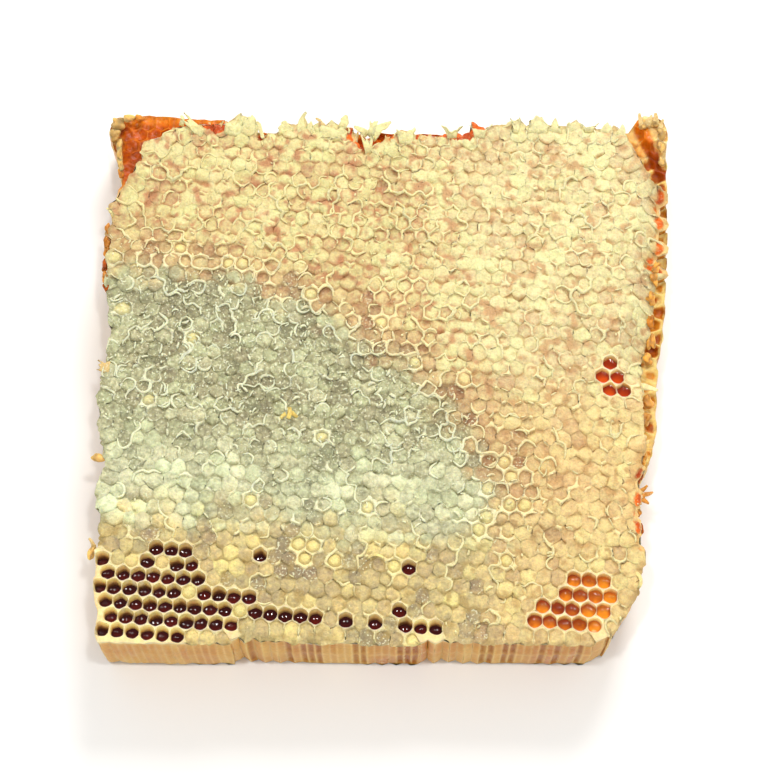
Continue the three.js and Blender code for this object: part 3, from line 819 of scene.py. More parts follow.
# Wax threads: the bees leave them along the edges of the cells, in arcs round single caps and as loose
# sticks. Of the tries in each zone, a share leaves a thread.
threads = {
    "chain": {"tries": 900, "radius": (0.36, 0.58), "wobble": 0.3, "share": {
        "dry": 0.5, "right": 0.14, "lowRight": 0.16, "belt": 0.5, "wet": 0.4, "pale": 0.2, "low": 0.12}},
    "arc": {"tries": 1100, "radius": (0.38, 0.6), "wobble": 0.25, "reach": 2.62, "share": {
        "dry": 0.22, "right": 0.08, "lowRight": 0.08, "belt": 0.4, "wet": 0.34, "pale": 0.12, "low": 0.08}},
    "stick": {"tries": 1900, "radius": (0.34, 0.7), "wobble": 0.2, "reach": 2.6, "share": {
        "dry": 0.16, "right": 0.07, "lowRight": 0.06, "belt": 0.3, "wet": 0.85, "pale": 0.14, "low": 0.03}},
}
threadLift = 0.35  # of its thickness, above what it lies on


def chainPath(walk, cell):
    at = cell["ring"][int(draw(walk, 4, 23) * 6)]
    path, before = [], None
    for step in range(1 + int(draw(walk, 9, 24) ** 1.5 * 6)):
        onward = [n for n in linked.get(at, []) if n != before]
        if not onward:
            break
        onward.sort(key=lambda n: draw(walk, n, 25) - 0.5 * joins[tuple(sorted((at, n)))]["crest"])
        path += [borderPoint(at, onward[0], share / 3, "cap")[:3] for share in range(3)]
        before, at = at, onward[0]
    return path


def arcPath(walk, cell):
    steps, perEdge = capShape["segments"], capShape["segments"] // 6
    outward = 0.84 + 0.2 * draw(walk, 1, 30)
    first, path = int(draw(walk, 7, 28) * steps), []
    for k in range(first, first + 5 + int(draw(walk, 9, 29) * 11), 2):
        side = k % steps // perEdge
        a, b = cell["ring"][side], cell["ring"][(side + 1) % 6]
        x, y, z = borderPoint(a, b, k % perEdge / perEdge, "cap")[:3]
        length = math.dist((x, y), (cell["x"], cell["y"]))
        share = 1 - outward * (0.3 + 0.7 * threads["arc"]["reach"] / length)
        path.append((x + (cell["x"] - x) * share, y + (cell["y"] - y) * share, z))
    return path


def stickPath(walk, cell):
    angle, away = draw(walk, 2, 91) * math.tau, threads["stick"]["reach"] * math.sqrt(draw(walk, 3, 92))
    x, y = cell["x"] + math.cos(angle) * away, cell["y"] + math.sin(angle) * away
    heading, turn = draw(walk, 4, 93) * math.tau, 1.6 * (draw(walk, 5, 94) - 0.5)
    path = []
    for _ in range(2 + int(draw(walk, 6, 95) ** 1.6 * 4)):
        out = math.dist((x, y), (cell["x"], cell["y"])) / capReach
        path.append((x, y, capZ(x, y) + cell["dome"] * (1 - min(1, out) ** 3)))
        x, y = x + 0.8 * math.cos(heading), y + 0.8 * math.sin(heading)
        heading += turn
    return path


def addThread(curve, path, number, look):
    spline = curve.splines.new("NURBS")
    spline.points.add(len(path) - 1)
    spline.order_u = min(4, len(path))
    spline.use_endpoint_u = True
    low, high = look["radius"]
    thickness = low + (high - low) * draw(number, 1, 43)
    for i, (x, y, z) in enumerate(path):
        ends = min(1, 0.45 + 0.35 * min(i, len(path) - 1 - i))
        swell = 0.8 + 0.4 * draw(number, i, 44)
        dx, dy = (look["wobble"] * 2 * (draw(number, i, k) - 0.5) for k in (45, 46))
        height = min(max(z, capZ(x, y) - 0.2) + threadLift * thickness, capping["top"] - thickness)
        spline.points[i].co = ((x + dx) * mm, (y + dy) * mm, height * mm, 1)
        spline.points[i].radius = thickness * ends * swell * mm


def buildThreads():
    curve = bpy.data.curves.new("wax_threads", "CURVE")
    curve.dimensions = "3D"
    curve.bevel_depth = 1
    curve.bevel_resolution = 1
    curve.resolution_u = 2
    paths = {"chain": chainPath, "arc": arcPath, "stick": stickPath}
    number = 0
    for kind, look in threads.items():
        for _ in range(look["tries"]):
            number += 1
            cell = capped[int(draw(number, 3, 26) * len(capped))]
            chance = sum(look["share"][name] * weight for name, weight in cell["weights"].items())
            path = paths[kind](number, cell) if draw(number, 5, 27) <= chance else []
            if len(path) > 1:
                addThread(curve, path, number, look)
    piece = bpy.data.objects.new("wax_threads", curve)
    bpy.context.collection.objects.link(piece)
    pick(piece)
    bpy.ops.object.convert(target="MESH")
    piece = bpy.context.object
    piece.name = piece.data.name = "wax_threads"
    piece.data.polygons.foreach_set("use_smooth", [True] * len(piece.data.polygons))
    piece.data.materials.append(cappingWax)
    x, y, z = np.array([v.co for v in piece.data.vertices]).T / mm
    paint(piece, zoneColour(x, y, "ridge") * (0.95 + 0.05 * speckle(x, y, 3, 47))[:, None], 0.1)
    print("built wax threads", len(piece.data.polygons))
    return piece


# Crumbs of wax scattered over the wet caps, and a share of them over the dry ones
crumbs = {"count": 1800, "size": (0.22, 0.55), "share": 0.1, "reach": 2.5}


def turned(points, turn):
    ahead, aside = math.cos(turn), math.sin(turn)
    return points @ np.array([[ahead, aside, 0], [-aside, ahead, 0], [0, 0, 1]])


def modelCrumb(subdivisions):
    bpy.ops.object.select_all(action="DESELECT")
    bpy.ops.mesh.primitive_ico_sphere_add(subdivisions=subdivisions, radius=1)
    bpy.ops.transform.resize(value=(1, 0.8, 0.7))
    bpy.ops.object.transform_apply(location=False, rotation=False, scale=True)
    shape = bpy.context.object
    points = np.array([v.co for v in shape.data.vertices])
    faces = np.array([list(p.vertices) for p in shape.data.polygons])
    bpy.data.objects.remove(shape, do_unlink=True)
    return points, faces


def buildCrumbs():
    shape, shapeFaces = modelCrumb(1)
    points, faces = [], []
    low, high = crumbs["size"]
    for i in range(crumbs["count"]):
        cap = capped[int(draw(i, 1, 61) * len(capped))]
        if draw(i, 2, 62) > crumbs["share"] + (1 - crumbs["share"]) * cap["weights"]["wet"]:
            continue
        angle, away = draw(i, 3, 63) * math.tau, crumbs["reach"] * math.sqrt(draw(i, 4, 64))
        x, y = cap["x"] + math.cos(angle) * away, cap["y"] + math.sin(angle) * away
        size = low + (high - low) * draw(i, 5, 65) ** 1.7
        spun = turned(shape, draw(i, 6, 66) * math.tau)
        z = capZ(x, y) + 0.5 * size + cap["dome"] * (1 - (away / capReach) ** 3)
        faces.append(shapeFaces + len(points) * len(shape))
        points.append(spun * size * np.array([1, 1 + draw(i, 7, 67), 1]) + (x, y, z))
    points = np.concatenate(points)
    piece = makePiece("wax_crumbs", points, np.concatenate(faces).tolist(), cappingWax)
    x, y, z = points.T
    paint(piece, zoneColour(x, y, "ridge"), 0.2)
    print("built crumbs", len(piece.data.polygons))
    return piece


# Lumps of wax and thick honey left along the torn edges: place, half length, half width, heading in degrees
# and look
lumps = {"uneven": 0.42, "places": [
    (-102, 98.4, 26.4, 2.6, 2.4, 20, "straw"), (-102.8, 93.6, 26, 2.2, 2, 60, "straw"),
    (-98.4, 100.4, 26, 2.6, 1.4, 4, "straw"), (-94.4, 101, 25.4, 2, 1.2, -4, "amber"),
    (-101.2, 89.6, 25.4, 2.6, 1.2, 92, "straw"), (-100.8, 85.8, 25.6, 2.8, 1.3, 95, "straw"),
    (-100.4, 82, 25.4, 2.4, 1.2, 92, "straw"), (-100.2, 78.6, 25.2, 2, 1.1, 88, "amber"),
    (-103.2, 53, 31.6, 2.4, 1.1, 96, "amber"), (-103.2, 48.4, 31.4, 2.8, 1.3, 84, "amber"),
    (-103.2, 43, 31.6, 2.6, 1.2, 92, "amber"), (-103.1, 38.4, 31.4, 2.6, 1.4, 84, "honey"),
    (-102.9, 33.6, 31.6, 2.4, 1.3, 90, "amber"), (-102.6, 29.4, 31.4, 2, 1.2, 100, "honey"),
    (-102.4, -36, 33, 2.5, 1.7, 12, "straw"), (-103.2, -70, 31.6, 3, 1.2, 78, "straw"),
    (97.8, 38.4, 29.4, 2.2, 1.4, 70, "pale"), (97, 33.6, 29.2, 2.4, 1.3, 100, "pale"),
    (95.6, 26, 29, 2.6, 1.7, 80, "pale"), (95.2, 17.6, 28.6, 2.4, 1.5, 96, "amber"),
    (95, 9.4, 28.6, 2.8, 1.5, 84, "pale"), (93.4, 2.4, 28.8, 2.2, 1.6, 110, "pale"),
    (92.8, -14.4, 29, 2.6, 1.8, 90, "pale"), (92, -20.6, 29, 2.4, 1.5, 80, "pale"),
    (90.6, -35.4, 29.6, 2.6, 1.2, 84, "pale"), (88.6, -42.6, 30, 2.6, 1.3, 78, "honey"),
    (87.6, -55.6, 31, 2.4, 1.2, 92, "amber"), (88, -61.6, 31, 2, 1, 100, "honey"),
    (95.6, 95.6, 29.6, 1.8, 1.3, 40, "straw"), (99.4, 96.4, 29.8, 2, 1.4, 0, "straw"),
    (102.2, 92.6, 29.6, 2.4, 1.4, 90, "straw"), (101.8, 87, 29.2, 2.6, 1.4, 86, "straw"),
    (102, 81.4, 28.4, 2.2, 1.1, 92, "straw")]}
lumpLooks = {"straw": ("#BE9A5C", 0.3), "pale": ("#C48C42", 0.5), "amber": ("#B4742A", 0.7),
             "honey": ("#90440C", 1.0)}


def buildLumps():
    shape, shapeFaces = modelCrumb(4)
    px, py, pz = shape.T
    points, faces, tints = [], [], []
    for i, (x, y, z, length, width, heading, look) in enumerate(lumps["places"]):
        bumpy = 1 + lumps["uneven"] * speckle(px + 0.6 * pz + 9 * i, py - 0.5 * pz, 0.6, 107)
        faces.append(shapeFaces + len(points) * len(shape))
        lump = shape * bumpy[:, None] * (length, 1.25 * width, width)
        points.append(turned(lump, math.radians(heading)) + (x, y, z))
        code, gloss = lumpLooks[look]
        shade = 1 + 0.25 * speckle(px + 0.8 * pz + 7 * i, py, 0.5, 108)
        tints.append(np.column_stack([hexColour(code) * shade[:, None], np.full(len(shape), gloss)]))
    tints = np.concatenate(tints)
    piece = makePiece("wax_lumps", np.concatenate(points), np.concatenate(faces).tolist(), wallWax)
    paint(piece, tints[:, :3], tints[:, 3])
    print("built lumps", len(piece.data.polygons))
    return piece


# Flakes: torn ends of the cappings, thin and curled. Each has its root, heading and bend in degrees, length,
# width at its root and at its end, how far its end is hollowed between the corners, height and look. Inset
# and sunk say how far its root lies back and down under the cap that it hangs on.
flakes = {"thick": 0.5, "inset": 1.8, "sunk": 1.3, "columns": 8, "rows": 8, "curl": 0.45, "ragged": 0.3}
flakeSheets = [
    (-70.5, 91.2, 142, -8, 9.6, 3.8, 2.4, 0.3, 34.8, "dry"),
    (-76.8, 95.6, 84, 30, 2.4, 1.8, 0.8, 0, 34.6, "dry"),
    (-66.8, 91, 80, 20, 5.4, 2.4, 0.6, 0, 31.5, "tan"), (-64.6, 91, 74, -18, 6, 2.6, 0.6, 0, 31.8, "tan"),
    (-57.8, 92, 92, 4, 4.4, 6.4, 6.8, 0.3, 34.6, "dry"), (-51.6, 92.2, 88, 0, 4.6, 6, 5, -0.3, 34.5, "dry"),
    (-48.6, 93.8, -64, -10, 6.4, 1.9, 1.2, 0, 34.4, "dry"),
    (-38.6, 92, 92, 0, 2.4, 6, 5, -0.4, 34.3, "dry"), (-32.6, 91.8, 98, -36, 7, 3.6, 0.6, 0, 34.8, "dry"),
    (-29.4, 91.4, 84, 0, 3, 4.6, 3, -0.3, 34.4, "dry"),
    (-20.6, 89, 90, 4, 7.6, 9.6, 9.4, 0.42, 34.9, "dry"),
    (-16.8, 93.6, 76, 0, 3.4, 3, 3.4, -0.2, 35.1, "dry"),
    (-24.8, 94.2, 128, 20, 3, 1.6, 0.5, 0, 34.6, "tan"),
    (-13.4, 88.2, 62, 20, 4.6, 3.4, 2, 0.2, 32.4, "tan"), (-7.7, 84, 94, 0, 8.6, 2, 5.4, 0.4, 34.3, "dry"),
    (-9.4, 91.2, 142, 18, 4, 3, 0.9, 0, 34.4, "dry"), (-6, 91, 82, 0, 5.8, 2.6, 3, 0.1, 34.6, "dry"),
    (-5.6, 90.4, 42, -10, 8.2, 4.8, 0.9, 0, 34.5, "dry"), (-1.4, 86.4, 62, 16, 5, 2.6, 1.6, 0.2, 32, "tan"),
    (6.6, 87.8, 90, 0, 5.2, 6, 6.6, 0.2, 34.7, "dry"), (13.4, 89, 92, 0, 2.4, 6, 4, 0.2, 33, "tan"),
    (23.6, 90.4, 90, 0, 4, 3.8, 9, 0.5, 34.7, "dry"), (34, 90.6, 86, 0, 4, 3.4, 8, 0.5, 34.7, "dry"),
    (47.4, 92.2, 88, 10, 4.2, 1.6, 3.8, 0.2, 34.7, "dry"),
    (55.4, 92.2, 90, 0, 4, 8.6, 6, -0.35, 34.6, "dry"), (62, 92.4, 86, 0, 2.6, 5, 3, -0.35, 34.3, "dry"),
    (68.4, 92.6, 94, 0, 2, 4, 4, -0.2, 34.3, "dry"), (74.6, 92.6, 92, 0, 2.6, 2.4, 7, 0.6, 34.5, "dry"),
    (81.4, 92.4, 84, 0, 2, 5, 3, -0.3, 34.2, "dry"), (86.6, 90.4, 74, 8, 3.6, 3.4, 0.8, 0, 34.2, "dry"),
    (94.4, 96.6, 104, -10, 3.6, 2.2, 0.5, 0, 30.4, "tan"), (97.4, 97, 66, 0, 3.2, 2.6, 0.6, 0, 30.6, "tan"),
    (100.2, 97.4, 96, 0, 3, 2.4, 0.8, 0, 30.6, "tan"), (102, 95.4, 72, 0, 3, 2, 0.6, 0, 30, "tan"),
    (87.2, -50.4, -58, -10, 3, 1.8, 0.4, 0, 31, "amber"),
    (87.4, -50.2, -28, -10, 4.8, 2.2, 0.6, 0, 31.2, "amber"),
    (87.4, -49.8, 4, 12, 5.8, 2.4, 0.5, 0, 31.6, "amber"),
    (87.2, -49.4, 34, 8, 5, 2, 0.5, 0, 31.4, "amber"), (87, -49, 66, 8, 3.2, 1.8, 0.4, 0, 31.2, "amber"),
    (91.6, -9, -8, -18, 5, 3, 0.7, 0, 31, "dry"), (89.6, -30.4, -10, 30, 3, 2.4, 0.8, 0, 32, "dry"),
    (-101.4, -2.6, 172, -12, 3.6, 4.6, 3.6, 0.2, 33.6, "tan"),
    (-101.6, 58.6, 128, 20, 2.8, 2, 0.6, 0, 32.6, "dry"),
    (-103, -67.6, 110, 20, 2.6, 1.6, 0.5, 0, 32, "tan"),
    (-35.6, -22.6, 70, 20, 4.4, 1.5, 1.3, 0, 35.6, "gold"),
    (-36.4, -20.6, 210, 20, 2.6, 1.3, 0.8, 0, 35.4, "gold"),
    (-34.4, -20, -40, 0, 2.8, 1.3, 0.8, 0, 35.4, "gold"), (-6, -72.4, 20, -50, 4.6, 0.9, 0.6, 0, 35, "dry"),
    (86.5, -79.4, -60, -50, 5, 1.2, 0.8, 0, 34.6, "dry")]
flakeLooks = {"tan": ("#DDBC7C", 0.3), "amber": ("#CC8834", 0.5), "gold": ("#E3C468", 0.3)}


# The faces of a sheet of points in rows
def gridFaces(start, rows, columns):
    ids = start + np.arange((rows + 1) * (columns + 1)).reshape(rows + 1, columns + 1)
    quads = np.stack([ids[:-1, :-1], ids[:-1, 1:], ids[1:, 1:], ids[1:, :-1]], axis=-1)
    return quads.reshape(-1, 4).tolist()


def flakeTint(look, x, y, share):
    shade = 1 + 0.08 * speckle(x, y, 1.1, 106)
    if look in flakeLooks:
        code, gloss = flakeLooks[look]
        return (*(hexColour(code) * shade), gloss)
    behind = zoneColour(np.array(x), np.array(y), "caps", np.array(0.62 + 0.2 * share))
    return (*(behind * shade), 0.1)


def addFlake(sheet, number, points, faces, tints):
    x, y, heading, bend, length, rootWidth, endWidth, hollow, height, look = sheet
    columns, rows = flakes["columns"], flakes["rows"]
    faces += gridFaces(len(points), rows, columns)
    loose = look in ("gold", "amber")
    inset = 0 if loose else flakes["inset"]
    ragged = flakes["ragged"] * min(1, endWidth / 3)
    lift = 1.4 * (draw(number, 1, 105) - 0.35)
    for i in range(rows + 1):
        s = i / rows
        turn = math.radians(heading + bend * (s - 0.3))
        width = rootWidth + (endWidth - rootWidth) * s ** 1.3
        sunk = 0 if loose else flakes["sunk"] * max(0, 1 - s / 0.35) ** 2
        for j in range(columns + 1):
            u = 2 * j / columns - 1
            middle = 1 - u * u
            cut = ragged * draw(number, j, 103) + hollow * middle + max(0, -hollow) * abs(u)
            out = -inset + (length + inset) * s * (1 - cut * s)
            side = 0.5 * u * width * (1 + 0.25 * speckle(out, 3.0 * (u > 0), 1.6, number))
            px = x + math.cos(turn) * out + math.sin(turn) * side
            py = y + math.sin(turn) * out - math.cos(turn) * side
            rise = lift * s * s - 0.15 * (1 - middle) + flakes["curl"] * speckle(px, py, 1.9, number)
            points.append((px, py, min(height + rise - sunk, capping["top"] - 0.4)))
            tints.append(flakeTint(look, px, py, s))


def buildFlakes():
    points, faces, tints = [], [], []
    for number, sheet in enumerate(flakeSheets):
        addFlake(sheet, number, points, faces, tints)
    piece = makePiece("wax_flakes", points, faces, cappingWax, 0.6 * flakes["thick"])
    tints = np.array(tints)
    paint(piece, tints[:, :3], tints[:, 3])
    pick(piece)
    bpy.ops.object.modifier_add(type="SOLIDIFY")
    piece.modifiers[0].thickness = flakes["thick"] * mm
    piece.modifiers[0].offset = 0
    bpy.ops.object.modifier_apply(modifier=piece.modifiers[0].name)
    print("built flakes", len(piece.data.polygons))
    return piece


# Open cells: a thin pale rim, smooth walls that lean a little, and honey standing below the rim. Levels are
# depths below the rim: of most cells, of the fuller ones at the right, of nearly empty ones and of one odd
# cell.
wells = {"rim": "#FFDEA2", "wallTop": "#FADC98", "wallMiddle": "#F4CE86", "wallDeep": "#70442A",
         "warmWall": "#E0A058", "rimRise": 0.2, "radius": 2.95, "roundness": 0.45, "uneven": 0.2,
         "lean": 1.1, "leanDepth": 4.2, "edgeNarrowing": 0.13, "mouth": 0.964, "bowl": 0.45,
         "level": 4.1, "fullLevel": 2.8, "fullFrom": 40, "emptyLevel": 5.6, "emptyChance": 0.2,
         "odd": {"place": (-96.5, -78.2), "level": 3.2}}
honeys = {"dark": ("#380400", "#6C1404"), "red": ("#982E06", "#D8560E"), "amber": ("#943A0A", "#E6901E")}


# How high the borders of the cells lie
def rimHeights(chosen, level="cap"):
    return np.array([sum(cornerPlace(a, level)[2] for a in c["ring"]) / 6 for c in chosen])


def atEdgeOf(chosen):
    return np.array([any(corners[a]["outside"] for a in c["ring"]) for c in chosen])[:, None]


def leanOf(y, drop, chosen):
    backOnly = np.clip(0.5 + (y - ofCells(chosen, "y")) / (2 * wells["radius"]), 0, 1)
    lean = wells["lean"] * np.clip(drop / wells["leanDepth"], 0, 1.4)
    return np.where(atEdgeOf(chosen), backOnly, 1) * lean  # at the edge only the far wall leans


def isOdd(cell):
    return math.dist((cell["x"], cell["y"]), wells["odd"]["place"]) < wells["radius"]


def levelOf(cell):
    if isOdd(cell):
        return wells["odd"]["level"]
    if cell["x"] > wells["fullFrom"]:
        return wells["fullLevel"] * (0.7 + 0.4 * draw(*cell["id"], 4))
    if draw(*cell["id"], 6) < wells["emptyChance"]:
        return wells["emptyLevel"]
    return wells["level"] * (0.85 + 0.3 * draw(*cell["id"], 4))


def unevenMouth(x, y):
    size = wells["uneven"]
    return x + size * speckle(x, y, 1.9, 95), y + size * speckle(x, y, 1.9, 96)


# Wells at the edge narrow below their rim, which keeps them behind the side wall
def narrowed(x, y, drop, chosen):
    cx, cy = ofCells(chosen, "x"), ofCells(chosen, "y")
    share = 1 - wells["edgeNarrowing"] * atEdgeOf(chosen) * smooth(0.1, 1.0, drop)
    return cx + (x - cx) * share, cy + (y - cy) * share


def wellRelief(x, y, t, rim, depth, chosen):
    base = rimHeights(chosen)[:, None]
    ledge = smooth(0.88, 0.98, t)
    top = rim[..., 2] * ledge + base * (1 - ledge) + wells["rimRise"] * smooth(1.0, 0.96, t)
    x, y = narrowed(*unevenMouth(x, y), -depth, chosen)
    return x, y - leanOf(y, -depth, chosen), top + depth


def poolRelief(x, y, t, rim, depth, chosen):
    drop = np.array([levelOf(c) for c in chosen])[:, None]
    x, y = narrowed(*unevenMouth(x, y), drop, chosen)
    return x, y - leanOf(y, drop, chosen), rimHeights(chosen)[:, None] - drop + wells["bowl"] * t ** 2


# Where the honey is red and where it is amber: in the cells at the right, further back and further front
def honeyShares(x, y):
    rightward = smooth(40, 52, x)
    return rightward * smooth(-60, -20, y), rightward * (1 - smooth(-60, -20, y))


def buildWellWalls(chosen):
    laid = layCellShape(chosen, wellShape, "cap", wellRelief, wells["roundness"], wells["radius"])
    x, y, z = laid["points"].T
    down = rimHeights(chosen)[laid["owner"]] + wells["rimRise"] - z
    # The walls darken with depth: painted shade down the well, and near the pool a film of honey
    wall = blend(wells["wallTop"], wells["wallMiddle"], smooth(0.8, 3.0, down))
    wall = blend(wall, wells["warmWall"], 0.8 * sum(honeyShares(x, y)) * smooth(0.5, 2.0, down))
    wall = blend(wall, wells["wallDeep"], smooth(2.2, 4.8, down))
    tint = blend(wells["rim"], wall, smooth(0.1, 0.5, down)) * (1 + 0.06 * speckle(x, y, 1.2, 68))[:, None]
    piece = makePiece("open_cells", laid["points"], laid["faces"], wallWax)
    paint(piece, tint, 0.1 + 0.6 * smooth(0.3, 2, down))
    print("built open cells", len(chosen))
    return piece


def buildPools(chosen):
    narrow = {**poolShape, "points": poolShape["points"] * np.array([wells["mouth"], 1, 1])}
    laid = layCellShape(chosen, narrow, "cap", poolRelief, wells["roundness"], wells["radius"])
    unused = len(laid["points"]) - len(chosen) * len(poolShape["points"])  # the borders: pools stay inside
    x, y, z = laid["points"][unused:].T
    owner = laid["owner"][unused:]
    # Painted shade darkens the honey near the walls; it is also lighter towards the front
    front = np.clip((ofCells(chosen, "y")[owner, 0] - y - wells["lean"]) / 2, -1, 1)
    wallShade = smooth(0.5, 0.95, laid["share"][unused:])
    tone = 0.5 + 0.3 * front + 0.7 * (drawn(chosen, 69)[owner] - 0.5) - 0.45 * wallShade
    tone = np.clip(tone + 0.2 * speckle(x, y, 1.1, 97), 0, 1)
    red, amber = honeyShares(x, y)
    tint = blend(blend(*honeys["dark"], tone), blend(*honeys["red"], tone), red)
    amberTone = np.clip(tone + 0.5 * smooth(60, 76, x), 0, 1)
    tint = blend(tint, blend(*honeys["amber"], amberTone), amber)
    faces = [[i - unused for i in face] for face in laid["faces"]]
    piece = makePiece("honey_pools", laid["points"][unused:], faces, honey)
    paint(piece, tint, 1.0)
    print("built honey pools", len(chosen))
    return piece


# Torn comb beside the caps. Each stretch of the edge has two colours for the broken cells and one for the
# webs of wax between them, where in a cell its web begins, how wet it is and how deep
torn = {
    "back": {"pit": "#C4540E", "deep": "#983408", "web": "#D87C24", "webFrom": 0.8, "wet": 1, "dip": 1},
    "ledge": {"pit": "#B85206", "deep": "#A04406", "web": "#C4660E", "webFrom": 0.85, "wet": 1, "dip": 0.2},
    "chunk": {"pit": "#E8BE74", "deep": "#DCA050", "web": "#F0D294", "webFrom": 0.7, "wet": 0.3, "dip": 0.3},
    "right": {"pit": "#CC8424", "deep": "#A04A0A", "web": "#EDD080", "webFrom": 0.5, "wet": 0.5, "dip": 0.9},
    "lowRight": {"pit": "#CE8828", "deep": "#AC560C", "web": "#EBC878", "webFrom": 0.5, "wet": 0.6,
                 "dip": 0.6},
    "left": {"pit": "#D8B070", "deep": "#B88040", "web": "#E8CF94", "webFrom": 0.5, "wet": 0.3, "dip": 0.5},
}
tornTrim = {"backRim": "#DE8420", "corner": "#D8BE7C", "roundness": 0.5}
# A run of honey over the torn comb: its middle line, and how far out its edge fades
honeyBand = {"line": ((94, 97), (103, 77)), "width": (2.6, 1.4), "pale": "#DC7C16", "deep": "#923C06"}


def tornWeights(x, y):
    onRight = smooth(78, 88, x)
    return layered([("back", 1),
                    ("ledge", smooth(-50, -60, x) * smooth(70, 78, y)),
                    ("left", smooth(-76, -86, x) * smooth(76, 68, y)),
                    ("right", onRight * smooth(96, 88, y)),
                    ("lowRight", onRight * smooth(6, -12, y)),
                    ("chunk", smooth(1.5, 1.1, fromChunk(x, y)))], x)


def tornMix(weights, what):
    if isinstance(torn["back"][what], str):
        return sum(weights[name][..., None] * hexColour(look[what]) for name, look in torn.items())
    return sum(weights[name] * look[what] for name, look in torn.items())


def tornRelief(x, y, t, rim, depth, chosen):
    dip = (0.8 + 1.6 * drawn(chosen, 5)[:, None]) * tornMix(tornWeights(x, y), "dip")
    bowl = rimHeights(chosen, "torn")[:, None] - dip * (1 - t ** 4)
    ragged = 0.6 * speckle(x, y, 2.3, 81) + 0.35 * speckle(x, y, 1.0, 82) + 0.5 * speckle(x, y, 5, 89)
    return x, y, rim[..., 2] * t ** 5 + bowl * (1 - t ** 5) + ragged * (1 - t ** 6)


def buildTorn():
    chosen = cellsOf("torn")
    laid = layCellShape(chosen, capShape, "torn", tornRelief, tornTrim["roundness"])
    x, y, z = laid["points"].T
    weights = tornWeights(x, y)
    luck, webLuck = (drawn(chosen, seed)[laid["owner"]] for seed in (7, 8))
    deep = np.clip(0.85 * smooth(0.5, 0.8, luck) + 0.4 * speckle(x, y, 2.6, 83), 0, 1)
    tint = blend(tornMix(weights, "pit"), tornMix(weights, "deep"), deep)
    ownWeb = (webLuck - 0.5) * (1 - weights["ledge"] - weights["back"])
    webFrom = tornMix(weights, "webFrom") + 0.7 * ownWeb + 0.15 * speckle(x, y, 1.7, 84)
    web = np.clip((laid["share"] - webFrom) / 0.18, 0, 1)
    tint = blend(tint, tornMix(weights, "web"), web)
    tint = blend(tint, tornTrim["backRim"], 0.8 * weights["ledge"] * smooth(97.5, 100.5, y))
    band = np.array([toLine(px, py, *honeyBand["line"]) for px, py in zip(x, y)])
    band = smooth(*honeyBand["width"], band + 0.6 * speckle(x, y, 2.2, 92)) * smooth(78, 86, x)
    bandTint = blend(honeyBand["pale"], honeyBand["deep"], smooth(95, 82, y + speckle(x, y, 2, 93)))
    tint = blend(tint, bandTint, band)
    corner = weights["ledge"] * smooth(-99, -102, x) * smooth(-0.5, 0.3, speckle(x, y, 3, 90))
    tint = blend(tint, tornTrim["corner"], 0.85 * corner) * (1 + 0.08 * speckle(x, y, 1.1, 85))[:, None]
    piece = makePiece("torn_cells", laid["points"], laid["faces"], wallWax)
    paint(piece, tint, np.maximum(band, tornMix(weights, "wet") * (1 - 0.6 * web) * (1 - corner)))
    print("built torn cells", len(chosen))
    return piece


# Side walls: each panel runs down one cell wall, past the midrib to the base. Some are hollow, where the cut
# left half a cell open, and the others bulge out a little (below 0).
sides = {"columns": 4, "lipRows": 3, "rows": 14, "lipShare": 0.09, "hollow": 0.8, "hollowChance": 0.42,
         "bulge": -0.12, "bulgeAtWell": -0.45, "grain": 0.2, "lip": "#F2E2AC", "wax": "#E4B768",
         "amber": "#C87E22", "dark": "#98500F", "midrib": "#E3BD78", "edge": "#EBCB8C"}


# The places where a corner shows at the side, from the top to the bottom
def columnOf(at, top, bottom):
    c = corners[at]
    levels = []
    if c["atCap"]:
        x, y, z = cornerPlace(at, "cap")[:3]
        levels.append(("cap", (x, y, z)))
        if c["outside"] or c["atTorn"]:
            inX, inY = c["away"] * c["lipInset"]
            levels.append(("lip", (c["x"] - inX, c["y"] - inY, capZ(x, y) + c["rise"] - c["lipDrop"])))
    if c["atTorn"]:
        levels.append(("torn", cornerPlace(at, "torn")[:3]))
    if c["outside"]:
        outX, outY = c["away"] * slab["midOutset"] * (1 + c["jitter"](10))
        levels.append(("mid", (c["x"] + outX, c["y"] + outY, c["midZ"])))
        levels.append(("base", cornerPlace(at, "base")[:3]))
    order = ["cap", "lip", "torn", "mid", "base"]
    low, high = order.index(top), order.index(bottom)
    return [Vector(p) for name, p in levels if low <= order.index(name) <= high]


def alongColumn(column, share):
    height = column[0].z + (column[-1].z - column[0].z) * share
    for upper, lower in zip(column, column[1:]):
        if height >= lower.z or lower is column[-1]:
            part = 0 if upper.z == lower.z else (upper.z - height) / (upper.z - lower.z)
            return upper.lerp(lower, min(1, max(0, part)))
    return column[-1]


def panelPoint(panel, share, u):
    p = alongColumn(panel["first"], share).lerp(alongColumn(panel["second"], share), u)
    if share == 0 and panel["top"] == "cap" and 0 < u < 1:
        p.z = borderPoint(panel["a"], panel["b"], u, "cap")[2]
    arch = 4 * u * (1 - u)
    body = min(1, share / 0.16) * min(1, (1 - share) / 0.05)
    nearMid = math.exp(-((p.z - corners[panel["a"]]["midZ"]) / 0.9) ** 2)
    grain = sides["grain"] * body * speckle(p.x + p.y * 0.7, p.z, 2.2, 85)
    p = p + panel["outward"] * (grain - panel["dip"] * arch ** 0.7 * body * (1 - 0.85 * nearMid))
    return p, arch, body, nearMid


def panelTint(panel, p, share, arch, body, nearMid):
    slow = speckle(p.x + p.y, p.z * 0.6, 9, 86)
    honeyed = min(1, max(0, 0.5 + 0.6 * slow + 0.5 * (panel["luck"] - 0.5)))
    colour = blend(sides["wax"], sides["amber"], honeyed)
    colour = blend(colour, sides["dark"], (0.55 if panel["dip"] > 0 else 0.12) * arch * body)
    colour = blend(colour, sides["edge"], 0.55 * (1 - arch) ** 3)
    colour = blend(colour, sides["midrib"], 0.6 * nearMid)
    if panel["top"] == "cap":
        colour = blend(colour, sides["lip"], 1 - smooth(0.02, 0.12, share))
    return (*colour, 0.9 * body * honeyed)


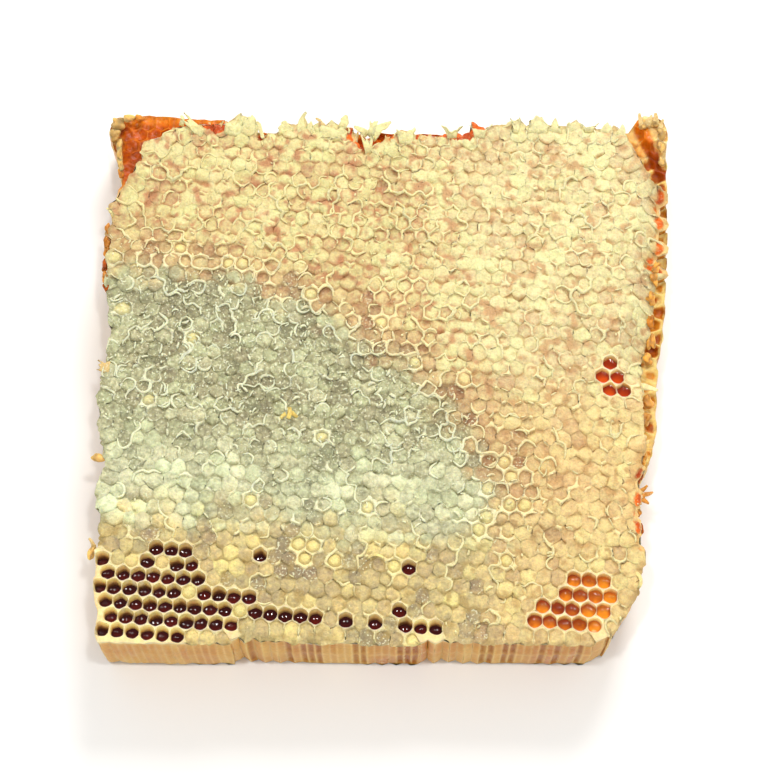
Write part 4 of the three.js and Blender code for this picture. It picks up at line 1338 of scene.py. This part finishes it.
# How far down the rows of a panel lie: a few close ones for the lip, then the rest
def rowShares(rows):
    lipRows, lipShare = sides["lipRows"], sides["lipShare"]
    lip = [lipShare * i / lipRows for i in range(lipRows + 1)]
    return lip + [lipShare + (1 - lipShare) * i / rows for i in range(1, rows + 1)]


def addPanel(panel, rows, points, faces, tints):
    shares, columns = rowShares(rows), sides["columns"]
    faces += [[a, d, c, b] for a, b, c, d in gridFaces(len(points), len(shares) - 1, columns)]
    for share in shares:
        for j in range(columns + 1):
            p, *place = panelPoint(panel, share, j / columns)
            points.append(tuple(p))
            tints.append(panelTint(panel, p, share, *place))


def buildSides():
    points, faces, tints = [], [], []
    for cellId, beyondId, (a, b) in (user for users in edges.values() for user in users):
        cell, beyond = cells[cellId], cells.get(beyondId)
        top = "torn" if cell["kind"] == "torn" else "cap"
        if beyond is not None and not (top == "cap" and beyond["kind"] == "torn"):
            continue
        bottom, rows = ("base", sides["rows"]) if beyond is None else ("torn", sides["rows"] // 2)
        dip = sides["hollow"] if draw(a, b, 61) < sides["hollowChance"] else sides["bulge"]
        if cell["kind"] == "open":
            dip = sides["bulgeAtWell"]
        first, second = columnOf(a, top, bottom), columnOf(b, top, bottom)
        if min(len(first), len(second)) > 1:
            outward = (second[-1] - first[-1]).cross(Vector((0, 0, 1))).normalized()
            panel = {"a": a, "b": b, "first": first, "second": second, "top": top, "outward": outward,
                     "dip": dip, "luck": draw(a, b, 62)}
            addPanel(panel, rows, points, faces, tints)
    piece = makePiece("side_walls", points, faces, wallWax)
    tints = np.array(tints)
    paint(piece, tints[:, :3], tints[:, 3])
    pick(piece)
    bpy.ops.object.mode_set(mode="EDIT")
    bpy.ops.mesh.select_all(action="SELECT")
    bpy.ops.mesh.remove_doubles(threshold=0.02 * mm)
    bpy.ops.object.mode_set(mode="OBJECT")
    print("built side walls", len(piece.data.polygons))
    return piece


# The underside: caps pressed flat by the slab's own weight
lowerCaps = {"cream": "#EAD9A0", "amber": "#C98F45", "grooveShade": "#9E7A3E", "roundness": 0.5}


def lowerRelief(x, y, t, rim, depth, chosen):
    return x, y, rim[..., 2] * smooth(0.72, 1.0, t)


def buildUnderside():
    chosen = list(cells.values())
    laid = layCellShape(chosen, lowerCapShape, "base", lowerRelief, lowerCaps["roundness"])
    x, y, z = laid["points"].T
    patch = 0.7 * speckle(x, y, 12, 87) + 0.4 * speckle(x, y, 3.5, 88)
    tint = blend(lowerCaps["cream"], lowerCaps["amber"], 0.8 * smooth(-0.1, 0.5, patch))
    # Painted shade in the grooves between the pressed caps
    tint = blend(tint, lowerCaps["grooveShade"], 0.6 * smooth(0.86, 1.0, laid["share"]))
    piece = makePiece("lower_cappings", laid["points"], [f[::-1] for f in laid["faces"]], cappingWax)
    paint(piece, tint, smooth(0, 0.5, patch))
    print("built underside")
    return piece


openOnes = cellsOf("open")
waxCaps = buildCappings() + [buildThreads(), buildCrumbs(), buildFlakes(), buildUnderside()]
wellWalls, pools = buildWellWalls(openOnes), buildPools(openOnes)
cellWalls = [wellWalls, buildTorn(), buildSides(), buildLumps()]
for slot, pieces in (("wax_caps", waxCaps), ("cell_walls", cellWalls), ("honey", [pools])):
    for piece in pieces:
        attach(piece, "root")
        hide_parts("comb")

# Floor, light and camera
studio = {"floor": "#F2F1EE", "floorSize": 6.0, "floorDrop": 0.0004, "floorRoughness": 0.9,
          "world": "#FFFFFF", "worldStrength": 0.66}
bpy.ops.object.select_all(action="DESELECT")
bpy.ops.mesh.primitive_plane_add(size=studio["floorSize"], location=(0, 0, -studio["floorDrop"]))
floor = bpy.context.object
floor.name = "floor"
paper = bpy.data.materials.new("white paper")
paper.use_nodes = True
skin = paper.node_tree.nodes["Principled BSDF"]
skin.inputs["Base Color"].default_value = socketColour(studio["floor"])
skin.inputs["Roughness"].default_value = studio["floorRoughness"]
floor.data.materials.append(paper)

world = bpy.data.worlds.new("studio")
world.use_nodes = True
sky = world.node_tree.nodes["Background"]
sky.inputs["Color"].default_value = socketColour(studio["world"])
sky.inputs["Strength"].default_value = studio["worldStrength"]
bpy.context.scene.world = world
bpy.context.scene.view_settings.view_transform = "Standard"  # shows the wax in the colours it was mixed in

lamps = [
    {"name": "key", "place": (0.25, 0.95, 1.0), "size": 0.45, "power": 12},
    {"name": "lampLeft", "place": (-0.17, -0.15, 1.3), "size": 0.07, "power": 3.4},
    {"name": "lampRight", "place": (0.17, -0.15, 1.3), "size": 0.07, "power": 3.4},
]
for lamp in lamps:
    bpy.ops.object.select_all(action="DESELECT")
    bpy.ops.object.light_add(type="AREA", location=lamp["place"])
    light = bpy.context.object
    light.name = lamp["name"]
    light.data.size = lamp["size"]
    light.data.energy = lamp["power"]
    light.rotation_euler = (-Vector(lamp["place"])).to_track_quat("-Z", "Y").to_euler()

view = {"aim": (0.0005, -0.0112, 0.034), "distance": 0.7827, "tilt": 20, "lens": 101.4}
tilt = math.radians(view["tilt"])
camera = bpy.data.objects.new("camera", bpy.data.cameras.new("camera"))
bpy.context.collection.objects.link(camera)
camera.location = Vector(view["aim"]) + Vector((0, -math.sin(tilt), math.cos(tilt))) * view["distance"]
camera.rotation_euler = (tilt, 0, 0)
camera.data.lens = view["lens"]
camera.data.sensor_width = 36
camera.data.clip_start, camera.data.clip_end = 0.01, 20
bpy.context.scene.camera = camera
print("studio set")

print("cad box", [round(v / mm, 1) for v in (*cadLow, *cadHigh)])
